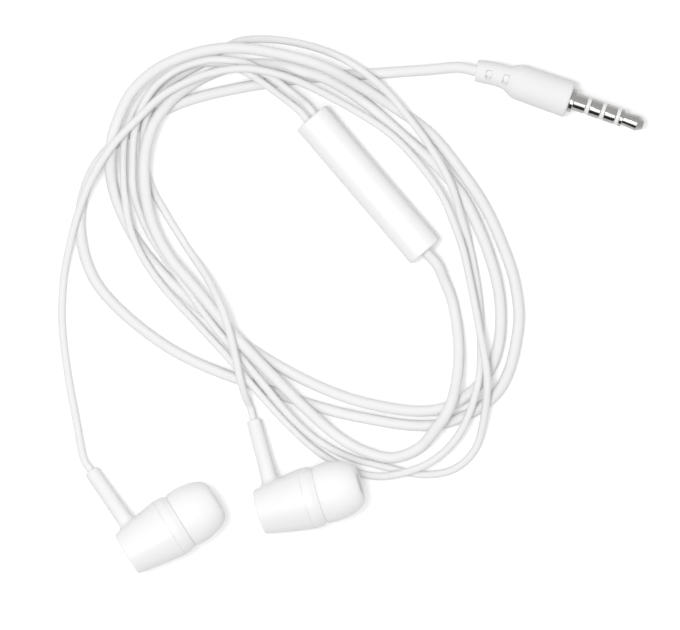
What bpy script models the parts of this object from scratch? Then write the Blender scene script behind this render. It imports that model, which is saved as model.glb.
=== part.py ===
"""Wired in-ear earphones with an inline remote, lying in loose loops on a flat surface.

Lengths are in metres, +Z is up and the surface is at Z = 0. The origin is on the surface, under
the middle of the box round both earbuds and the remote. Each earbud is turned about its own
axis, with heights counted from its flat rear face to the front of its ear tip.
"""
import math

import bmesh
import bpy
import numpy as np
from mathutils import Matrix, Vector

MM = 0.001

# Fits
FIT_GAP = 0.3 * MM
CONTACT_GAP = 0.1 * MM
WELD_DISTANCE = 0.0001 * MM

# Faces to a round
ARC_STEPS = 3
SHELL_SIDES = 28
GRIP_SIDES = 20
INNER_SIDES = 16
PIN_SIDES = 12
HOLE_SIDES = 8

# Earbud shells
SEAM_RADIUS = 6.2 * MM
REAR_RADIUS = 4.5 * MM
REAR_SHELL_LENGTH = 10.0 * MM
FRONT_SHELL_LENGTH = 2.4 * MM
FRONT_RADIUS = 5.6 * MM
SHELL_WALL = 0.9 * MM
SHELL_EDGE_ROUND = 0.6 * MM
LIP_LENGTH = 1.2 * MM
LIP_WALL = 0.6 * MM

# Nozzle and ear tip
NOZZLE_LENGTH = 4.6 * MM
NOZZLE_RADIUS = 2.3 * MM
NOZZLE_WALL = 0.6 * MM
BARB_RISE = 0.3 * MM
BARB_LENGTH = 0.8 * MM
NOZZLE_MESH_THICKNESS = 0.3 * MM
NOZZLE_MESH_DEPTH = 0.8 * MM
MESH_HOLE_RADIUS = 0.2 * MM
MESH_HOLES = 6
TIP_LENGTH = 8.0 * MM
TIP_RADIUS = 6.0 * MM
TIP_SKIRT_RADIUS = 5.9 * MM
TIP_SKIRT_LENGTH = 1.5 * MM
TIP_FRONT_RADIUS = 3.0 * MM
TIP_WALL = 0.6 * MM
TIP_MOUTH_RADIUS = 2.3 * MM

# Cable boot, the strain relief that stands out of the rear shell
BOOT_HEIGHT = 3.6 * MM
BOOT_REACH = 18.25 * MM
BOOT_END_RADIUS = 1.5 * MM
BOOT_BASE_RADIUS = 1.6 * MM
BOOT_FLARE_RADIUS = 1.95 * MM
BOOT_FLARE_LENGTH = 1.6 * MM
BOOT_FLANGE_RADIUS = 2.1 * MM
BOOT_FLANGE_THICKNESS = 0.8 * MM
BOOT_EDGE_ROUND = 0.3 * MM

# Driver
DRIVER_LENGTH = 2.2 * MM
DRIVER_WALL = 0.5 * MM
YOKE_RADIUS = 2.5 * MM
YOKE_WALL = 0.4 * MM
YOKE_BASE = 0.5 * MM
YOKE_LENGTH = 2.1 * MM
MAGNET_RADIUS = 1.25 * MM
MAGNET_LENGTH = 1.0 * MM
POLE_PLATE_THICKNESS = 0.4 * MM
COIL_WALL = 0.25 * MM
COIL_LENGTH = 1.3 * MM
DIAPHRAGM_THICKNESS = 0.15 * MM
DIAPHRAGM_DOME_RISE = 0.3 * MM
DIAPHRAGM_RECESS = 0.5 * MM
TERMINAL_BOARD_RADIUS = 1.9 * MM
TERMINAL_BOARD_THICKNESS = 0.5 * MM
LEAD_RADIUS = 0.25 * MM
LEAD_SPREAD = 0.7 * MM

# Remote, with its long side along its own X and the main cord leaving at +X
REMOTE_LENGTH = 35.2 * MM
REMOTE_WIDTH = 7.7 * MM
REMOTE_HEIGHT = 6.2 * MM
REMOTE_WALL = 0.8 * MM
REMOTE_TOP_ROUND = 3.0 * MM
REMOTE_BOTTOM_ROUND = 1.2 * MM
REMOTE_END_ROUND = 0.6 * MM
GROMMET_RADIUS = 2.0 * MM
GROMMET_FLANGE_RADIUS = 2.5 * MM
GROMMET_FLANGE_THICKNESS = 0.8 * MM
BRANCH_SPACING = 1.92 * MM
BUTTON_LENGTH = 9.0 * MM
BUTTON_WIDTH = 3.2 * MM
BUTTON_RECESS = 0.15 * MM
BUTTON_FLANGE = 0.6 * MM
BUTTON_FLANGE_THICKNESS = 0.5 * MM
BUTTON_NUB_RADIUS = 0.5 * MM
BUTTON_NUB_LENGTH = 0.3 * MM
SWITCH_LENGTH = 3.2 * MM
SWITCH_WIDTH = 3.0 * MM
SWITCH_HEIGHT = 1.4 * MM
SWITCH_ROOF = 0.2 * MM
PLUNGER_RADIUS = 0.6 * MM
PLUNGER_LENGTH = 1.1 * MM
PLUNGER_STAND_OUT = 0.3 * MM
BOARD_LENGTH = 26.0 * MM
BOARD_WIDTH = 3.8 * MM
BOARD_THICKNESS = 0.6 * MM
POST_RADIUS = 0.8 * MM
POST_OFFSET = 8.3 * MM
MICROPHONE_LENGTH = 3.0 * MM
MICROPHONE_WIDTH = 2.2 * MM
MICROPHONE_HEIGHT = 1.0 * MM
MICROPHONE_OFFSET = 11.2 * MM
MICROPHONE_HOLE_RADIUS = 0.4 * MM

# Plug, with its own +Z towards the contact tip and Z = 0 at the front face of its grip
GRIP_RADIUS = 3.75 * MM
GRIP_BODY_REAR_RADIUS = 3.6 * MM
GRIP_LENGTH = 10.5 * MM
GRIP_FLARE_LENGTH = 3.5 * MM
GRIP_NECK_LENGTH = 5.6 * MM
GRIP_NECK_FRONT_RADIUS = 2.4 * MM
GRIP_NECK_REAR_RADIUS = 2.2 * MM
GRIP_EDGE_ROUND = 0.5 * MM
GRIP_BEND = math.radians(9.3)
GRIP_BEND_LENGTH = 2.5 * MM
SLOT_LENGTH = 1.2 * MM
SLOT_WIDTH = 2.2 * MM
SLOT_DEPTH = 0.9 * MM
SLOT_PITCH = 3.6 * MM
SLOT_INTO_FLARE = 0.6 * MM
SLOT_ROLL = math.radians(14.0)
SLOTS = 2
CONTACT_RADIUS = 1.75 * MM
CONTACT_WALL = 0.45 * MM
COLLAR_RADIUS = 2.4 * MM
COLLAR_LENGTH = 0.8 * MM
SLEEVE_SHANK = 5.5 * MM
SLEEVE_LENGTH = 3.4 * MM
RING_LENGTH = 2.2 * MM
RINGS = 2
INSULATOR_LENGTH = 0.75 * MM
PIN_RADIUS = 0.5 * MM
HEAD_BASE_LENGTH = 0.6 * MM
HEAD_GROOVE_RADIUS = 1.3 * MM
HEAD_GROOVE_LENGTH = 0.3 * MM
HEAD_RADIUS = 1.55 * MM
HEAD_LENGTH = 2.7 * MM
HEAD_CONE_LENGTH = 1.3 * MM
HEAD_END_RADIUS = 0.8 * MM

# Cords
MAIN_CORD_DIAMETER = 2.2 * MM
BRANCH_CORD_DIAMETER = 1.5 * MM
CORD_STEP = 9.0 * MM
CORD_BEVEL_RESOLUTION = 1
LOOP_LENGTH = 8.0 * MM

# Places on the surface, seen from above. An earbud's place is its rear face and its heading is the
# way its ear tip points. Its pitch lifts the tip, which lies over a cord on the right one, its
# roll lowers the boot to the surface, and the boot leans off square by its lean.
LEFT_PLACE = (-26.91 * MM, -42.76 * MM)
LEFT_HEADING = math.radians(31.8)
LEFT_PITCH = math.radians(0.0)
LEFT_ROLL = math.radians(12.0)
LEFT_BOOT_LEAN = math.radians(3.1)
RIGHT_PLACE = (-0.4 * MM, -34.39 * MM)
RIGHT_HEADING = math.radians(16.2)
RIGHT_PITCH = math.radians(6.5)
RIGHT_ROLL = math.radians(10.3)
RIGHT_BOOT_LEAN = math.radians(0.0)
REMOTE_PLACE = (21.33 * MM, 31.04 * MM)
REMOTE_HEADING = math.radians(-49.55)
PLUG_PLACE = (61.51 * MM, 47.98 * MM)
PLUG_HEADING = math.radians(-19.3)

# Routes of the cords between their glands, in millimetres, chosen along the loops: the third
# number is the height of the centre line, which rises where one strand crosses over another
MAIN_ROUTE = (
    (33.6, 54, 2.5), (24.6, 53.4, 1.4), (5.6, 52, 1.2), (-12.4, 48.6, 1.2), (-19.4, 46, 1.2),
    (-25.4, 42.4, 1.2), (-30.8, 38, 1.2), (-34.4, 32.6, 1.2), (-36.4, 24, 1.2), (-34.8, 14.8, 1.2),
    (-31, 8.6, 1.2), (-18, -2, 1.2), (0, -9.6, 1.2), (19.6, -15.5, 1.2), (36, -16.8, 1.2),
    (47.2, -10.4, 1.2), (51.3, 2.4, 1.2), (50.7, 11, 1.2), (48.2, 18.8, 1.2), (44.3, 27.2, 1.2),
    (39.2, 34.6, 1.2), (33.6, 41.3, 1.2), (26.8, 46.3, 1.2), (19.2, 50.9, 4), (12, 54.6, 7),
    (3.6, 57, 6.5), (-4.4, 58.2, 6.5), (-10.4, 57.8, 6.5), (-16.4, 56.2, 6), (-21.4, 53.7, 5.5),
    (-26, 49.4, 5), (-29.1, 43, 4.5), (-30.2, 38, 4), (-29.7, 30, 1.2), (-24.6, 19, 1.2),
    (-11.8, 5.7, 1.2), (3.6, -5.4, 1.2), (20.6, -12.6, 1.5), (36.6, -13.6, 2.4), (45.8, -5.6, 1.2),
    (47.6, 8, 1.5), (41.2, 26.9, 1.5), (35.2, 34.6, 1.2), (27.6, 41.4, 1.2), (19.6, 48.2, 1.5),
    (12.4, 52.3, 4.2), (8.2, 53.6, 4), (3.6, 54.8, 2.5), (-4.4, 55, 1.2), (-11.4, 52.6, 1.2),
    (-16.4, 49.4, 3), (-19.2, 46.6, 4.5), (-21.8, 42.6, 5), (-23.3, 37, 4.5), (-23.3, 30, 4),
    (-22, 23.6, 3.5), (-18.6, 16.8, 4), (-13.2, 10.3, 5), (-6.2, 1.8, 4.5), (-2.8, -2, 4.5),
    (2.2, -7.2, 4), (8.2, -13.2, 4), (15.6, -19.6, 2.5), (20.8, -22.4, 2), (26, -23.6, 2),
    (31.2, -21.8, 2), (34.6, -18, 4), (37.4, -13.6, 5.5), (39.1, -7, 3.5), (39.3, 0, 2),
    (38, 8, 1.2), (36.4, 12, 2),
)
RIGHT_ROUTE = (
    (4.4, 48.3, 2.5), (0.8, 50.9, 3.5), (-2.8, 53.3, 3.5), (-6.2, 54.7, 3.5), (-11.2, 55.4, 3),
    (-16.4, 54.1, 2.5), (-20.8, 51.6, 2.6), (-24.8, 47.2, 3), (-26.8, 42.8, 3.5), (-27.5, 39.6, 3.5),
    (-27.7, 34, 2), (-27.3, 28, 3), (-26.2, 22, 4), (-24, 16.8, 3.5), (-19.6, 10.4, 2.5),
    (-13.4, 3.7, 2), (-7.4, -2.8, 3), (-3.2, -7.6, 3.5), (5, -16.7, 3.5), (11.4, -22.5, 1),
    (17.2, -25.8, 0.8), (22.6, -27.3, 1), (28, -26.7, 3), (34, -24.3, 3), (38.6, -20, 3),
    (41.4, -14.8, 3.5), (43.4, -7.6, 4), (43.8, -1, 2), (43.5, 8, 0.8), (41.6, 18.6, 0.8),
    (40, 24, 2.5), (37.6, 31.4, 4.5), (33.2, 39.2, 4), (29, 44.8, 4), (25.2, 49.4, 3.5),
    (20, 53.8, 3.5), (15.2, 56.7, 2.5), (7.6, 59.3, 0.8), (0, 60.2, 0.8), (-4.8, 59.7, 0.8),
    (-8, 58, 0.8), (-11.4, 55.6, 0.8), (-15.4, 53.3, 0.8), (-18.8, 51.1, 0.8), (-21, 48.8, 1.5),
    (-22.9, 44.6, 3.5), (-23.7, 40, 2.8), (-23.5, 35.6, 2), (-22, 30.4, 0.8), (-18.8, 24.6, 0.8),
    (-14.8, 18.2, 1), (-10.8, 12.2, 4), (-7.8, 6, 7), (-6.3, 1.2, 7), (-5, -4.4, 6),
    (-4.2, -8.2, 5.5), (-3.2, -11.6, 3.5),
)
LEFT_ROUTE = (
    (6.2, 49.2, 4.5), (3.4, 51.4, 4), (0.6, 53.3, 4), (-3.2, 55.3, 4.5), (-6.8, 55.9, 5.5),
    (-10.8, 55.9, 5), (-16.4, 54.2, 4.5), (-20.6, 51.3, 4.5), (-23.2, 47.8, 5), (-24.7, 44.4, 4.6),
    (-25.6, 40, 4.5), (-25.8, 34.8, 3.5), (-25.7, 30.4, 3.5), (-24.6, 26, 2), (-22.4, 21, 1),
    (-18.8, 15.6, 2), (-14.4, 9.4, 3.2), (-11.6, 5.4, 3.5), (-8, 0.8, 3.5), (-3.8, -3.8, 3),
    (0.4, -9, 4.5), (6.2, -15.8, 4.5), (11.6, -20.4, 2.5), (17.6, -23.5, 0.8), (24.6, -25.4, 0.8),
    (32.6, -27, 0.8), (38.6, -25.8, 0.8), (42.6, -22, 0.8), (44.6, -14.4, 3), (45, -7.4, 5),
    (43.4, 2.4, 4), (41.6, 11.8, 3), (40.1, 18.4, 3), (38.2, 23.8, 3), (36.1, 28.6, 3),
    (32.4, 34, 3), (26.2, 40.7, 3), (18.6, 45.8, 3), (10.6, 50.1, 4.5), (5.6, 52.2, 5.5),
    (0.6, 53.6, 6.5), (-4.4, 54.1, 6.5), (-11.4, 52.8, 6.5), (-19.4, 49, 6.5), (-24.6, 44.2, 7),
    (-30, 38.4, 6.5), (-34.2, 31.6, 5), (-36.8, 25, 3.5), (-38.4, 19, 2.5), (-39.7, 12, 0.8),
    (-40, 3, 0.8), (-38.8, -7.2, 0.8), (-37, -17, 1.5),
)


def clear_scene():
    """Remove every object that the opened file holds."""
    for item in list(bpy.data.objects):
        bpy.data.objects.remove(item, do_unlink=True)


def surface(name, colour, roughness, metallic=0.0):
    """A Principled material with one colour."""
    finish = bpy.data.materials.new(name)
    finish.use_nodes = True
    shader = finish.node_tree.nodes["Principled BSDF"]
    shader.inputs["Base Color"].default_value = (*colour, 1.0)
    shader.inputs["Roughness"].default_value = roughness
    shader.inputs["Metallic"].default_value = metallic
    finish.diffuse_color = (*colour, 1.0)
    return finish


def link(name, data, finish, parent=None, matrix=None):
    """Put a mesh or curve in the scene as a named object, held by its parent frame."""
    item = bpy.data.objects.new(name, data)
    bpy.context.scene.collection.objects.link(item)
    if finish:
        data.materials.append(finish)
    item.parent = parent
    if matrix:
        item.matrix_basis = matrix
    return item


def frame(name, matrix):
    """An empty that carries the pieces of one assembly."""
    holder = bpy.data.objects.new(name, None)
    bpy.context.scene.collection.objects.link(holder)
    holder.matrix_basis = matrix
    return holder


def finish_mesh(name, body):
    """Turn a bmesh into a mesh with its faces out and smooth round sides."""
    bmesh.ops.recalc_face_normals(body, faces=body.faces)
    mesh = bpy.data.meshes.new(name)
    body.to_mesh(mesh)
    body.free()
    mesh.shade_smooth()
    mesh.set_sharp_from_angle(angle=math.radians(35))
    return mesh


def rounded(corners, closed=False):
    """Points of an outline of (x, y, radius) corners, each rounded with a short arc."""
    points = []
    for index, (x, y, radius) in enumerate(corners):
        corner = Vector((x, y))
        open_end = not closed and index in (0, len(corners) - 1)
        if open_end or radius <= 0.0:
            points.append(corner)
            continue
        before = Vector(corners[index - 1][:2]) - corner
        after = Vector(corners[(index + 1) % len(corners)][:2]) - corner
        half = before.angle(after) / 2
        reach = min(radius / math.tan(half), 0.49 * before.length, 0.49 * after.length)
        inward = (before.normalized() + after.normalized()).normalized()
        centre = corner + inward * reach / math.cos(half)
        start = corner + before.normalized() * reach - centre
        sweep = math.copysign(math.pi - 2 * half, -before.cross(after))
        for step in range(ARC_STEPS + 1):
            points.append(centre + Matrix.Rotation(sweep * step / ARC_STEPS, 2) @ start)
    return points


def turned(name, outline, finish=None, parent=None, sides=INNER_SIDES, matrix=None):
    """A piece turned about its own Z from a (radius, height) outline.

    An outline that starts on the axis ends on it too; any other is closed into a ring.
    """
    body = bmesh.new()
    corners = [body.verts.new((radius, 0.0, height)) for radius, height in outline]
    edges = [body.edges.new(pair) for pair in zip(corners, corners[1:])]
    if outline[0][0] > 0.0:
        edges.append(body.edges.new((corners[-1], corners[0])))
    bmesh.ops.spin(body, geom=corners + edges, axis=(0, 0, 1), cent=(0, 0, 0), angle=math.tau,
                   steps=sides, use_merge=True)
    bmesh.ops.remove_doubles(body, verts=body.verts, dist=WELD_DISTANCE)
    return link(name, finish_mesh(name, body), finish, parent, matrix)


def ring_outline(inner, outer, low, high):
    """Outline of a plain ring or tube."""
    return [(outer, high), (outer, low), (inner, low), (inner, high)]


def disc_outline(radius, low, high):
    """Outline of a plain disc or rod."""
    return [(0.0, high), (radius, high), (radius, low), (0.0, low)]


def bar(name, length, outline, finish=None, parent=None, end_round=0.0, matrix=None):
    """A bar along its own X with a (y, z) outline, its end edges rounded."""
    body = bmesh.new()
    end = body.faces.new([body.verts.new((-length / 2, y, z)) for y, z in outline])
    grown = bmesh.ops.extrude_face_region(body, geom=[end])
    moved = [item for item in grown["geom"] if isinstance(item, bmesh.types.BMVert)]
    bmesh.ops.translate(body, verts=moved, vec=(length, 0, 0))
    if end_round > 0.0:
        caps = [face for face in body.faces if len(face.verts) == len(outline)]
        edges = list({edge for face in caps for edge in face.edges})
        bmesh.ops.bevel(body, geom=edges, offset=end_round, segments=2, affect="EDGES")
    return link(name, finish_mesh(name, body), finish, parent, matrix)


def box(name, size, centre, finish=None, parent=None, round_edges=0.0):
    """A box of the given size, with rounded upright edges where asked."""
    half_x = size[0] / 2
    half_y = size[1] / 2
    corners = [(-half_x, -half_y), (half_x, -half_y), (half_x, half_y), (-half_x, half_y)]
    outline = rounded([(x, y, round_edges) for x, y in corners], closed=True)
    body = bmesh.new()
    base = body.faces.new([body.verts.new((x, y, -size[2] / 2)) for x, y in outline])
    grown = bmesh.ops.extrude_face_region(body, geom=[base])
    moved = [item for item in grown["geom"] if isinstance(item, bmesh.types.BMVert)]
    bmesh.ops.translate(body, verts=moved, vec=(0, 0, size[2]))
    return link(name, finish_mesh(name, body), finish, parent, Matrix.Translation(centre))


def tube(name, line, radius, finish, parent=None, resolution=CORD_BEVEL_RESOLUTION):
    """A round tube along a line of points, with filled ends."""
    curve = bpy.data.curves.new(name, "CURVE")
    curve.dimensions = "3D"
    curve.bevel_depth = radius
    curve.bevel_resolution = resolution
    curve.use_fill_caps = True
    spline = curve.splines.new("POLY")
    spline.points.add(len(line) - 1)
    for point, place in zip(spline.points, line):
        point.co = (*place, 1.0)
    return link(name, curve, finish, parent)


def combine(target, tool, operation):
    """Add or cut with a hidden tool body."""
    change = target.modifiers.new(tool.name, "BOOLEAN")
    change.operation = operation
    change.object = tool
    change.solver = "EXACT"
    tool.hide_render = True
    tool.display_type = "WIRE"
    return target


def cut(target, *tools):
    """Cut each hidden tool out of the target."""
    for tool in tools:
        combine(target, tool, "DIFFERENCE")
    return target


def materials():
    """Every finish, by name."""
    return {
        "white_plastic": surface("white_plastic", (0.86, 0.86, 0.86), 0.28),
        "white_silicone": surface("white_silicone", (0.84, 0.84, 0.84), 0.5),
        "white_rubber": surface("white_rubber", (0.85, 0.85, 0.85), 0.42),
        "white_cord": surface("white_cord", (0.84, 0.84, 0.84), 0.45),
        "grey_plastic": surface("grey_plastic", (0.32, 0.33, 0.34), 0.5),
        "plated_metal": surface("plated_metal", (0.72, 0.71, 0.69), 0.22, 1.0),
        "magnet_metal": surface("magnet_metal", (0.5, 0.5, 0.52), 0.35, 1.0),
        "copper": surface("copper", (0.72, 0.35, 0.2), 0.35, 1.0),
        "film": surface("film", (0.75, 0.68, 0.5), 0.3),
        "board": surface("board", (0.05, 0.26, 0.14), 0.45),
    }


def earbud_matrix(rear, heading, pitch, roll):
    """World matrix of an earbud: Z along its axis to the ear tip, X along its cable boot.

    The seam, its widest circle, touches the surface.
    """
    forward = Vector((math.cos(heading), math.sin(heading), 0.0))
    axis = forward * math.cos(pitch) + Vector((0.0, 0.0, math.sin(pitch)))
    across = Vector((-forward.y, forward.x, 0.0))
    boot = across * math.cos(roll) - axis.cross(across) * math.sin(roll)
    height = SEAM_RADIUS * math.cos(pitch) - REAR_SHELL_LENGTH * math.sin(pitch)
    turn = Matrix((boot, axis.cross(boot), axis)).transposed().to_4x4()
    return Matrix.Translation((*rear, height)) @ turn


def boot_matrix(lean):
    """Matrix, within the earbud, of the cable boot: its Z runs out along the boot."""
    return Matrix.Translation((0.0, 0.0, BOOT_HEIGHT)) @ Matrix.Rotation(math.pi / 2 + lean, 4, "Y")


def rear_shell_radius(height):
    """Outer radius of the rear shell at a height above its rear face."""
    share = height / REAR_SHELL_LENGTH
    return REAR_RADIUS + (SEAM_RADIUS - REAR_RADIUS) * share


def earbud_sizes():
    """Sizes that the earbud's pieces share, worked out from the driving ones."""
    sizes = {}
    sizes["seam"] = REAR_SHELL_LENGTH + FIT_GAP
    sizes["front_wall"] = sizes["seam"] + FRONT_SHELL_LENGTH
    sizes["lip_start"] = sizes["seam"] - LIP_LENGTH
    sizes["lip_radius"] = rear_shell_radius(sizes["lip_start"]) - SHELL_WALL - FIT_GAP
    sizes["chamber_radius"] = sizes["lip_radius"] - LIP_WALL
    sizes["nozzle_end"] = sizes["front_wall"] + NOZZLE_LENGTH
    sizes["nozzle_bore"] = NOZZLE_RADIUS - NOZZLE_WALL
    sizes["barb_radius"] = NOZZLE_RADIUS + BARB_RISE
    sizes["driver_radius"] = sizes["chamber_radius"] - FIT_GAP
    sizes["driver_front"] = sizes["front_wall"] - SHELL_WALL - FIT_GAP
    sizes["driver_back"] = sizes["driver_front"] - DRIVER_LENGTH
    sizes["diaphragm"] = sizes["driver_front"] - DIAPHRAGM_RECESS
    sizes["yoke_front"] = sizes["diaphragm"] - DIAPHRAGM_THICKNESS - FIT_GAP
    sizes["yoke_back"] = sizes["yoke_front"] - YOKE_LENGTH
    sizes["board_front"] = sizes["yoke_back"] - CONTACT_GAP
    return sizes


def rear_shell(side, boot, finish, holder):
    """Cup that tapers to a flat rear face, with a hole for the cable boot."""
    inner_rear = rear_shell_radius(SHELL_WALL) - SHELL_WALL
    outline = rounded([
        (0.0, SHELL_WALL, 0.0),
        (inner_rear, SHELL_WALL, SHELL_EDGE_ROUND),
        (SEAM_RADIUS - SHELL_WALL, REAR_SHELL_LENGTH, 0.0),
        (SEAM_RADIUS, REAR_SHELL_LENGTH, 0.0),
        (REAR_RADIUS, 0.0, SHELL_EDGE_ROUND),
        (0.0, 0.0, 0.0),
    ])
    shell = turned(f"{side}_rear_shell", outline, finish["white_plastic"], holder, SHELL_SIDES)
    hole = turned(f"{side}_boot_hole", disc_outline(BOOT_BASE_RADIUS + FIT_GAP, 0.0, BOOT_REACH),
                  None, holder, INNER_SIDES, boot)
    return cut(shell, hole)


def front_shell(side, sizes, finish, holder):
    """Front cover with a locating lip behind it and the barbed nozzle in front."""
    wall = sizes["front_wall"]
    outline = rounded([
        (SEAM_RADIUS, sizes["seam"], 0.0),
        (FRONT_RADIUS, wall, SHELL_EDGE_ROUND),
        (NOZZLE_RADIUS, wall, 0.0),
        (NOZZLE_RADIUS, sizes["nozzle_end"] - BARB_LENGTH, 0.0),
        (sizes["barb_radius"], sizes["nozzle_end"] - BARB_LENGTH, 0.0),
        (sizes["barb_radius"], sizes["nozzle_end"], BARB_RISE),
        (sizes["nozzle_bore"], sizes["nozzle_end"], 0.0),
        (sizes["nozzle_bore"], wall - SHELL_WALL, 0.0),
        (sizes["chamber_radius"], wall - SHELL_WALL, 0.0),
        (sizes["chamber_radius"], sizes["lip_start"], 0.0),
        (sizes["lip_radius"], sizes["lip_start"], 0.0),
        (sizes["lip_radius"], sizes["seam"], 0.0),
    ], closed=True)
    return turned(f"{side}_front_shell", outline, finish["white_plastic"], holder, SHELL_SIDES)


def boot_flange():
    """Distance from the earbud's axis to the flange that holds the boot inside the wall."""
    rim = rear_shell_radius(BOOT_HEIGHT) - SHELL_WALL - FIT_GAP
    return math.sqrt(rim ** 2 - BOOT_FLANGE_RADIUS ** 2) - CONTACT_GAP


def cable_boot(side, boot, finish, holder):
    """Rubber strain relief, held in the rear shell's wall between its flange and flare."""
    flange = boot_flange()
    flare = rear_shell_radius(BOOT_HEIGHT + BOOT_FLARE_RADIUS) + FIT_GAP
    outline = rounded([
        (0.0, BOOT_REACH, 0.0),
        (BOOT_END_RADIUS, BOOT_REACH, BOOT_EDGE_ROUND),
        (BOOT_BASE_RADIUS, flare + BOOT_FLARE_LENGTH, 0.0),
        (BOOT_FLARE_RADIUS, flare, 0.0),
        (BOOT_BASE_RADIUS, flare, 0.0),
        (BOOT_BASE_RADIUS, flange, 0.0),
        (BOOT_FLANGE_RADIUS, flange, 0.0),
        (BOOT_FLANGE_RADIUS, flange - BOOT_FLANGE_THICKNESS, 0.0),
        (0.0, flange - BOOT_FLANGE_THICKNESS, 0.0),
    ])
    return turned(f"{side}_cable_boot", outline, finish["white_rubber"], holder, INNER_SIDES, boot)


def driver(side, sizes, finish, holder):
    """Moving-coil driver: frame, yoke, magnet, pole plate, coil and diaphragm."""
    back = sizes["driver_back"]
    front = sizes["driver_front"]
    seat = YOKE_RADIUS + FIT_GAP
    turned(f"{side}_driver_frame", [
        (sizes["driver_radius"], front), (sizes["driver_radius"], back), (seat, back),
        (seat, back + DRIVER_WALL), (sizes["driver_radius"] - DRIVER_WALL, back + DRIVER_WALL),
        (sizes["driver_radius"] - DRIVER_WALL, front)],
        finish["grey_plastic"], holder, INNER_SIDES)

    yoke_back = sizes["yoke_back"]
    yoke_front = sizes["yoke_front"]
    turned(f"{side}_yoke", [
        (0.0, yoke_back + YOKE_BASE), (YOKE_RADIUS - YOKE_WALL, yoke_back + YOKE_BASE),
        (YOKE_RADIUS - YOKE_WALL, yoke_front), (YOKE_RADIUS, yoke_front),
        (YOKE_RADIUS, yoke_back), (0.0, yoke_back)],
        finish["plated_metal"], holder, INNER_SIDES)

    magnet = yoke_back + YOKE_BASE + CONTACT_GAP
    turned(f"{side}_magnet", disc_outline(MAGNET_RADIUS, magnet, magnet + MAGNET_LENGTH),
           finish["magnet_metal"], holder, INNER_SIDES)
    plate = magnet + MAGNET_LENGTH + CONTACT_GAP
    turned(f"{side}_pole_plate", disc_outline(MAGNET_RADIUS, plate, plate + POLE_PLATE_THICKNESS),
           finish["plated_metal"], holder, INNER_SIDES)

    dome_radius = MAGNET_RADIUS + FIT_GAP + COIL_WALL
    coil_top = sizes["diaphragm"] - DIAPHRAGM_THICKNESS - CONTACT_GAP
    turned(f"{side}_voice_coil",
           ring_outline(MAGNET_RADIUS + FIT_GAP, dome_radius, coil_top - COIL_LENGTH, coil_top),
           finish["copper"], holder, INNER_SIDES)

    rim = sizes["driver_radius"] - DRIVER_WALL - FIT_GAP
    level = sizes["diaphragm"]
    turned(f"{side}_diaphragm", [
        (0.0, level + DIAPHRAGM_DOME_RISE), (dome_radius, level), (rim, level),
        (rim, level - DIAPHRAGM_THICKNESS), (dome_radius, level - DIAPHRAGM_THICKNESS),
        (0.0, level - DIAPHRAGM_THICKNESS + DIAPHRAGM_DOME_RISE)],
        finish["film"], holder, INNER_SIDES)

    board_back = sizes["board_front"] - TERMINAL_BOARD_THICKNESS
    board_outline = disc_outline(TERMINAL_BOARD_RADIUS, board_back, sizes["board_front"])
    turned(f"{side}_terminal_board", board_outline, finish["board"], holder, INNER_SIDES)
    start = boot_flange() - BOOT_FLANGE_THICKNESS - CONTACT_GAP
    for number, spread in enumerate((-LEAD_SPREAD, LEAD_SPREAD), 1):
        lead = [(start, spread, BOOT_HEIGHT), (start / 2, spread, BOOT_HEIGHT + FIT_GAP),
                (0.0, spread, (BOOT_HEIGHT + board_back) / 2), (0.0, spread, board_back - CONTACT_GAP)]
        tube(f"{side}_lead_wire_{number}", lead, LEAD_RADIUS, finish["copper"], holder, 0)


def nozzle_mesh(side, sizes, finish, holder):
    """Perforated guard disc near the mouth of the nozzle."""
    radius = sizes["nozzle_bore"] - FIT_GAP
    top = sizes["nozzle_end"] - NOZZLE_MESH_DEPTH
    low = top - NOZZLE_MESH_THICKNESS
    disc = turned(f"{side}_nozzle_mesh", disc_outline(radius, low, top), finish["plated_metal"], holder)
    hole_outline = disc_outline(MESH_HOLE_RADIUS, low - FIT_GAP, top + FIT_GAP)
    for index in range(MESH_HOLES):
        angle = math.tau * index / MESH_HOLES
        place = Matrix.Translation((radius / 2 * math.cos(angle), radius / 2 * math.sin(angle), 0.0))
        cut(disc, turned(f"{side}_mesh_hole_{index}", hole_outline, None, holder, HOLE_SIDES, place))


def ear_tip(side, sizes, finish, holder):
    """Silicone tip: a dome with a free skirt, on a core that slips over the barb."""
    back = sizes["front_wall"] + FIT_GAP
    front = back + TIP_LENGTH
    widest = back + TIP_SKIRT_LENGTH
    bore = sizes["barb_radius"] + FIT_GAP
    core = bore + TIP_WALL
    roof = front - 2 * TIP_WALL
    mouth = sizes["nozzle_end"] + FIT_GAP
    steps = 2 * ARC_STEPS
    outline = [(TIP_SKIRT_RADIUS, back)]
    for step in range(steps + 1):
        angle = math.pi / 2 * step / steps
        reach = (TIP_RADIUS - TIP_FRONT_RADIUS) * math.cos(angle)
        outline.append((TIP_FRONT_RADIUS + reach, widest + (front - widest) * math.sin(angle)))
    outline += [(TIP_MOUTH_RADIUS, front), (TIP_MOUTH_RADIUS, mouth)]
    outline += [(bore, mouth), (bore, back), (core, back)]
    for step in range(steps + 1):
        angle = math.pi / 2 * (1 - step / steps)
        reach = (TIP_RADIUS - TIP_WALL - core) * math.cos(angle)
        outline.append((core + reach, widest + (roof - widest) * math.sin(angle)))
    outline.append((TIP_SKIRT_RADIUS - TIP_WALL, back))
    return turned(f"{side}_ear_tip", outline, finish["white_silicone"], holder, SHELL_SIDES)


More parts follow.
